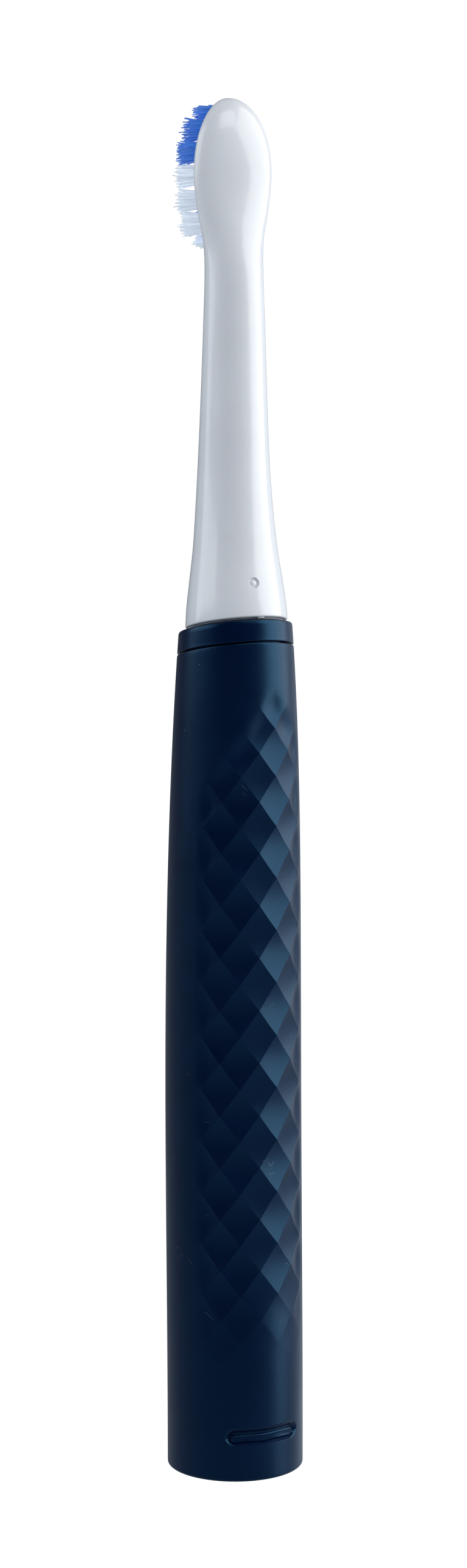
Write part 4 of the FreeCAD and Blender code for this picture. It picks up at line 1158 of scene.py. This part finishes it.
class TOOTHBRUSH_OT_bristles(bpy.types.Operator):
    """Build the tufts, filament by filament"""
    bl_idname = "toothbrush.bristles"
    bl_label = "Bristles"

    def one_filament(self):
        """A five-sided filament of unit length along -Y, with a rounded tip, as vertices and faces."""
        deselect_all()
        bpy.ops.mesh.primitive_cylinder_add(vertices=5, radius=0.5, depth=1.0,
                                            rotation=(math.pi / 2, 0, 0), location=(0, -0.5, 0))
        piece = named("filament_pattern")
        bpy.ops.object.transform_apply(location=True, rotation=True, scale=True)
        edit(piece)
        for share in (0.35, 0.7, 0.985):
            bpy.ops.mesh.select_all(action="SELECT")
            bpy.ops.mesh.bisect(plane_co=(0, -share, 0), plane_no=(0, 1, 0))
        leave_edit()
        for vertex in piece.data.vertices:
            if vertex.co.y < -0.99:
                vertex.co.x *= 0.45
                vertex.co.z *= 0.45
        vertices = np.array([vertex.co for vertex in piece.data.vertices])
        faces = [list(polygon.vertices) for polygon in piece.data.polygons]
        bpy.data.objects.remove(piece)
        return vertices, faces

    def tuft_roots(self, island, generator):
        """Even places inside one round-ended tuft, from the box of its solid."""
        spacing = settings("bristles").spacing
        low, high = island
        radius = min(high.x - low.x, high.z - low.z) / 2
        centre = (low + high) / 2
        reach_x = (high.x - low.x) / 2 - radius
        reach_z = (high.z - low.z) / 2 - radius
        inset = radius - settings("bristles").filament / 2
        roots = []
        rows = int((high.z - low.z) / (spacing * 0.866)) + 2
        columns = int((high.x - low.x) / spacing) + 2
        for row in range(-rows, rows + 1):
            for column in range(-columns, columns + 1):
                x = (column + 0.5 * (row % 2)) * spacing
                z = row * spacing * 0.866
                if math.hypot(max(abs(x) - reach_x, 0), max(abs(z) - reach_z, 0)) > inset:
                    continue
                x += generator.uniform(-0.12, 0.12) * spacing
                z += generator.uniform(-0.12, 0.12) * spacing
                roots.append((centre, x, z))
        return roots

    def islands(self, node):
        """Boxes of a node's separate solids."""
        mesh = frame["nodes"][node].data
        points = np.empty(len(mesh.vertices) * 3, np.float32)
        mesh.vertices.foreach_get("co", points)
        points = points.reshape(-1, 3).astype(float)
        keys = {}
        owner = list(range(len(points)))

        def root(index):
            while owner[index] != index:
                owner[index] = owner[owner[index]]
                index = owner[index]
            return index

        for index, point in enumerate(points):
            key = tuple(np.round(point / (0.001 * MM)).astype(int))
            if key in keys:
                owner[root(index)] = root(keys[key])
            else:
                keys[key] = index
        for edge in mesh.edges:
            first, second = edge.vertices
            owner[root(first)] = root(second)
        groups = {}
        for index in range(len(points)):
            groups.setdefault(root(index), []).append(index)
        boxes = []
        for members in groups.values():
            own = points[members]
            boxes.append((Vector(own.min(0)), Vector(own.max(0))))
        return sorted(boxes, key=lambda box: (round(box[0].z, 5), round(box[0].x, 5)))

    def build(self, name, node, slot, material, seed, flare):
        bristles = settings("bristles")
        generator = random.Random(seed)
        pattern, faces = self.one_filament()
        all_points = []
        all_faces = []
        shades = []
        for island in self.islands(node):
            low, high = island
            for centre, x, z in self.tuft_roots(island, generator):
                length = (high.y - low.y) - abs(generator.gauss(0, bristles.uneven))
                spread_x = x * flare + generator.gauss(0, bristles.stray)
                spread_z = z * flare + generator.gauss(0, bristles.stray)
                if generator.random() < 0.012:
                    spread_x += generator.gauss(0, 4 * bristles.stray)
                    spread_z += generator.gauss(0, 4 * bristles.stray)
                points = pattern.copy()
                along = -points[:, 1]
                points[:, 0] = points[:, 0] * bristles.filament + centre.x + x + spread_x * along ** 1.8
                points[:, 2] = points[:, 2] * bristles.filament + centre.z + z + spread_z * along ** 1.8
                points[:, 1] = high.y - along * length
                offset = len(all_points) * len(pattern)
                all_points.append(points)
                all_faces.extend([[corner + offset for corner in face] for face in faces])
                shades.extend([generator.uniform(0.25, 1.0)] * len(pattern))
        mesh = bpy.data.meshes.new(name)
        mesh.from_pydata(np.concatenate(all_points).tolist(), [], all_faces)
        attribute = mesh.attributes.new("shade", "FLOAT", "POINT")
        attribute.data.foreach_set("value", shades)
        piece = bpy.data.objects.new(name, mesh)
        bpy.context.scene.collection.objects.link(piece)
        smooth(piece, 60)
        finish(piece, "brush_head", node, slot, material)

    def execute(self, context):
        colours = settings("colours")
        flare = settings("bristles").flare
        # Each finish runs from a darker root to a lighter tip: painted shade at the root and painted light
        # at the tip.
        blue = filament("Blue Filament", shade_of(colours.blue, 0.8),
                        tuple(value * 0.88 + 0.12 * pale for value, pale in zip(colours.blue, colours.pale)))
        pale = filament("Pale Filament", shade_of(colours.pale, 0.9), shade_of(colours.pale, 1.1))
        core = filament("Core Filament", shade_of(colours.blue, 0.9), shade_of(colours.blue, 1.6))
        self.build("bristles_toe", "bristles_toe_blue", "bristle_blue", blue, 11, flare)
        self.build("bristles_side", "bristles_side_white", "bristle_white", pale, 12, flare)
        self.build("bristles_core", "bristles_core_blue", "bristle_blue", core, 13, flare * 0.8)
        return {"FINISHED"}


class TOOTHBRUSH_OT_inside(bpy.types.Operator):
    """Give every inner piece its finish"""
    bl_idname = "toothbrush.inside"
    bl_label = "Inner Pieces"

    def execute(self, context):
        steel = bare_metal("Ground Steel", (0.66, 0.67, 0.69), 0.22)
        strip = bare_metal("Spring Strip", (0.42, 0.44, 0.50), 0.30, (0.05, 1.0, 1.0))
        plated = bare_metal("Plated Can", (0.72, 0.73, 0.74), 0.30, (1.0, 1.0, 0.08))
        nickel = bare_metal("Nickel", (0.74, 0.71, 0.64), 0.24, (1.0, 0.1, 1.0))
        brass = bare_metal("Stamped Brass", (0.78, 0.60, 0.28), 0.30)
        bronze = bare_metal("Sintered Bronze", (0.52, 0.33, 0.17), 0.55, (1.0, 1.0, 1.0), 0.6)
        core = stacked_sheet("Stacked Core", (0.30, 0.31, 0.33))
        copper = wound_wire("Enamelled Copper", (0.62, 0.22, 0.07), 0.28)
        rubber = moulded_plastic("Black Rubber", (0.012, 0.012, 0.014), 0.6, grain=3.0, depth=0.03)
        grey_rubber = moulded_plastic("Grey Silicone", (0.22, 0.24, 0.26), 0.55, grain=3.0, depth=0.03)
        ivory = moulded_plastic("Ivory Bobbin", (0.72, 0.68, 0.58), 0.45)
        framing = moulded_plastic("Frame Plastic", (0.52, 0.54, 0.56), 0.5, grain=3.0, depth=0.02)
        black = moulded_plastic("Black Package", (0.014, 0.014, 0.016), 0.5, grain=8.0)
        ceramic = moulded_plastic("Ceramic", (0.34, 0.24, 0.15), 0.5, grain=5.0)
        board = solder_mask("Green Board", (0.010, 0.10, 0.045))
        lamp = clear_plastic("Lamp", (0.80, 0.78, 0.55), 0.15, 0.3)
        sleeve = moulded_plastic("Green Film", (0.02, 0.24, 0.13), 0.22, grain=2.0, depth=0.02)
        foam = moulded_plastic("Dark Foam", (0.03, 0.03, 0.033), 0.9, grain=2.0, depth=0.15)
        ferrite = moulded_plastic("Ferrite", (0.03, 0.03, 0.034), 0.65, grain=5.0, depth=0.03)
        red = moulded_plastic("Red Lead", (0.40, 0.02, 0.015), 0.4)
        finishes = {
            steel: ("drive_shaft", "board_screws"),
            strip: ("shaft_clip", "latch_spring", "torsion_spring"),
            plated: ("motor_housing", "motor_end_plate", "spring_anchor", "battery_cell"),
            nickel: ("battery_tabs", "rotor_magnets"),
            brass: ("tuft_anchors",),
            bronze: ("front_bearing", "rear_bearing"),
            core: ("stator_core", "rotor_hub"),
            copper: ("stator_coils", "charge_coil", "coil_leads"),
            rubber: ("shaft_seal", "base_o_ring", "button_membrane", "front_damper", "rear_damper"),
            grey_rubber: ("collar_gasket",),
            ivory: ("stator_bobbins", "coil_former", "switch_plunger"),
            framing: ("chassis",),
            black: ("microcontroller", "button_switch"),
            ceramic: ("board_parts",),
            board: ("circuit_board",),
            lamp: ("indicator_leds",),
            sleeve: ("battery_sleeve",),
            foam: ("battery_pad",),
            ferrite: ("coil_ferrite",),
            red: ("motor_leads",),
        }
        for material, nodes in finishes.items():
            for node in nodes:
                mesh = frame["nodes"][node].data
                if mesh.materials:
                    for index in range(len(mesh.materials)):
                        mesh.materials[index] = material
                else:
                    mesh.materials.append(material)
        return {"FINISHED"}


class TOOTHBRUSH_OT_stage(bpy.types.Operator):
    """Set the floor, the studio lights and the camera"""
    bl_idname = "toothbrush.stage"
    bl_label = "Stage"

    def backdrop(self):
        """Round studio floor that turns up into a wall all round."""
        corner = 0.7
        floor_radius = 1.8
        inner = [(0.0, 0.0)]
        inner += [(floor_radius + corner * math.sin(math.radians(angle)),
                   corner - corner * math.cos(math.radians(angle))) for angle in range(0, 91, 5)]
        inner += [(floor_radius + corner, 3.0)]
        outer = [(floor_radius + corner + 0.05, 3.0), (floor_radius + corner + 0.05, -0.05), (0.0, -0.05)]
        floor = lathe("studio_floor", inner + outer, 96)
        smooth(floor, 60)
        material, tree, shader = new_material("Studio Paper", Roughness=0.9, Specular_IOR_Level=0.0)
        point = object_point(tree)
        paper = mix_colours(tree, noise(tree, point, 0.02, 3.0), (0.90, 0.90, 0.90), (0.93, 0.93, 0.93))
        tree.links.new(paper, shader.inputs["Base Color"])
        path = tree.nodes.new("ShaderNodeLightPath")
        glow = add_node(tree, "ShaderNodeEmission", Strength=1.12)
        glow.inputs["Color"].default_value = (1.0, 1.0, 1.0, 1.0)
        seen = add_node(tree, "ShaderNodeMixShader")
        share = combine(tree, "MULTIPLY", path.outputs["Is Camera Ray"], 0.86)
        tree.links.new(share, seen.inputs["Fac"])
        tree.links.new(shader.outputs["BSDF"], seen.inputs[1])
        tree.links.new(glow.outputs["Emission"], seen.inputs[2])
        tree.links.new(seen.outputs["Shader"], tree.nodes["Material Output"].inputs["Surface"])
        floor.data.materials.append(material)
        floor.visible_glossy = False
        floor.visible_diffuse = False
        floor.visible_transmission = False
        floor.visible_shadow = False

    def directions(self):
        """Level directions from the object to the camera, and to its right as the camera sees it."""
        azimuth = settings("stage").azimuth
        forward = Vector((math.sin(azimuth), -math.cos(azimuth), 0))
        right = Vector((math.cos(azimuth), math.sin(azimuth), 0))
        return forward, right

    def panel(self, name, degrees, distance, height, width, tall, power, colour=(1.0, 1.0, 1.0),
              mirrored=True):
        """Softbox at an angle to the right of the camera's direction, turned to the object."""
        forward, right = self.directions()
        angle = math.radians(degrees)
        place = (forward * math.cos(angle) + right * math.sin(angle)) * distance
        place.z = height
        light = bpy.data.lights.new(name, "AREA")
        light.shape = "RECTANGLE"
        light.size = width
        light.size_y = tall
        light.energy = power
        light.color = colour
        lamp = bpy.data.objects.new(name, light)
        lamp.location = place
        aim = Vector((0, 0, 0.12)) - place
        lamp.rotation_euler = aim.to_track_quat("-Z", "Z").to_euler()
        lamp.visible_camera = False
        lamp.visible_glossy = mirrored
        bpy.context.scene.collection.objects.link(lamp)

    def camera(self):
        stage = settings("stage")
        forward, right = self.directions()
        data = bpy.data.cameras.new("Camera")
        data.lens = stage.lens
        data.sensor_width = 36.0
        camera = bpy.data.objects.new("Camera", data)
        camera.location = forward * stage.distance - right * stage.offset + Vector((0, 0, stage.height))
        aim = -forward * math.cos(stage.pitch) - Vector((0, 0, math.sin(stage.pitch)))
        camera.rotation_euler = aim.to_track_quat("-Z", "Y").to_euler()
        bpy.context.scene.collection.objects.link(camera)
        bpy.context.scene.camera = camera

    def world(self):
        """Dim room, brighter behind the object and below it, and duller where it is mirrored."""
        world = bpy.data.worlds.new("Studio")
        world.use_nodes = True
        tree = world.node_tree
        background = tree.nodes["Background"]
        background.inputs["Color"].default_value = (0.84, 0.92, 1.0, 1.0)
        way = tree.nodes.new("ShaderNodeTexCoord")
        split = tree.nodes.new("ShaderNodeSeparateXYZ")
        tree.links.new(way.outputs["Generated"], split.inputs[0])
        path = tree.nodes.new("ShaderNodeLightPath")
        glossy = path.outputs["Is Glossy Ray"]
        forward, right = self.directions()

        def share_along(direction, low, high, to_low, to_high):
            part = add_node(tree, "ShaderNodeVectorMath", operation="DOT_PRODUCT")
            part.inputs[1].default_value = direction
            tree.links.new(way.outputs["Generated"], part.inputs[0])
            return to_range(tree, part.outputs["Value"], low, high, to_low, to_high)

        behind = share_along(forward, -0.2, -0.85, 0.0, 1.0)
        mirrored = combine(tree, "MULTIPLY", glossy, share_along(right, -0.3, 0.5, 0.1, 0.6))
        level = combine(tree, "ADD", mirrored, to_range(tree, glossy, 0.0, 1.0, 0.75, 0.0))
        wall = combine(tree, "MULTIPLY", behind, level)
        below = to_range(tree, split.outputs["Z"], -0.06, -0.42, 0.0, 0.3)
        ambient = combine(tree, "ADD", to_range(tree, glossy, 0.0, 1.0, 0.17, 0.006), below)
        tree.links.new(combine(tree, "ADD", ambient, wall), background.inputs["Strength"])
        bpy.context.scene.world = world

    def execute(self, context):
        bpy.context.scene.view_settings.view_transform = "Standard"
        bpy.context.scene.view_settings.look = "None"
        self.world()
        self.backdrop()
        self.panel("key_softbox", 86, 1.15, 0.52, 1.65, 1.3, 16.5)
        self.panel("side_strip", -82, 1.05, 0.58, 0.75, 1.2, 4.6, (0.93, 0.96, 1.0))
        self.panel("side_fill", -60, 1.2, 0.5, 1.0, 1.0, 2.5, (0.95, 0.98, 1.0), mirrored=False)
        self.panel("top_softbox", 30, 1.3, 1.5, 0.9, 0.9, 6.0)
        self.camera()
        return {"FINISHED"}


class TOOTHBRUSH_PT_panel(bpy.types.Panel):
    """Lists the toothbrush's pieces and settings"""
    bl_idname = "TOOTHBRUSH_PT_panel"
    bl_label = "Electric Toothbrush"
    bl_space_type = "VIEW_3D"
    bl_region_type = "UI"
    bl_category = "Toothbrush"

    def draw(self, context):
        for operator in OPERATORS:
            self.layout.operator(operator.bl_idname)
        for name, group in SETTINGS.items():
            box = self.layout.box()
            for key in group.__annotations__:
                box.prop(getattr(context.scene, name), key)


OPERATORS = (
    TOOTHBRUSH_OT_effects,
    TOOTHBRUSH_OT_stage,
    TOOTHBRUSH_OT_shell,
    TOOTHBRUSH_OT_collar,
    TOOTHBRUSH_OT_foot,
    TOOTHBRUSH_OT_controls,
    TOOTHBRUSH_OT_head,
    TOOTHBRUSH_OT_bristles,
    TOOTHBRUSH_OT_inside,
)


def register():
    for group in SETTINGS.values():
        bpy.utils.register_class(group)
    for operator in OPERATORS:
        bpy.utils.register_class(operator)
    bpy.utils.register_class(TOOTHBRUSH_PT_panel)
    for name, group in SETTINGS.items():
        setattr(bpy.types.Scene, name, bpy.props.PointerProperty(type=group))


def unregister():
    for name in SETTINGS:
        delattr(bpy.types.Scene, name)
    bpy.utils.unregister_class(TOOTHBRUSH_PT_panel)
    for operator in reversed(OPERATORS):
        bpy.utils.unregister_class(operator)
    for group in reversed(list(SETTINGS.values())):
        bpy.utils.unregister_class(group)


def main():
    register()
    bpy.ops.toothbrush.effects()
    bpy.ops.toothbrush.stage()
    bpy.ops.toothbrush.shell()
    bpy.ops.toothbrush.collar()
    bpy.ops.toothbrush.foot()
    bpy.ops.toothbrush.controls()
    bpy.ops.toothbrush.head()
    bpy.ops.toothbrush.bristles()
    bpy.ops.toothbrush.inside()


if __name__ == "__main__":
    main()
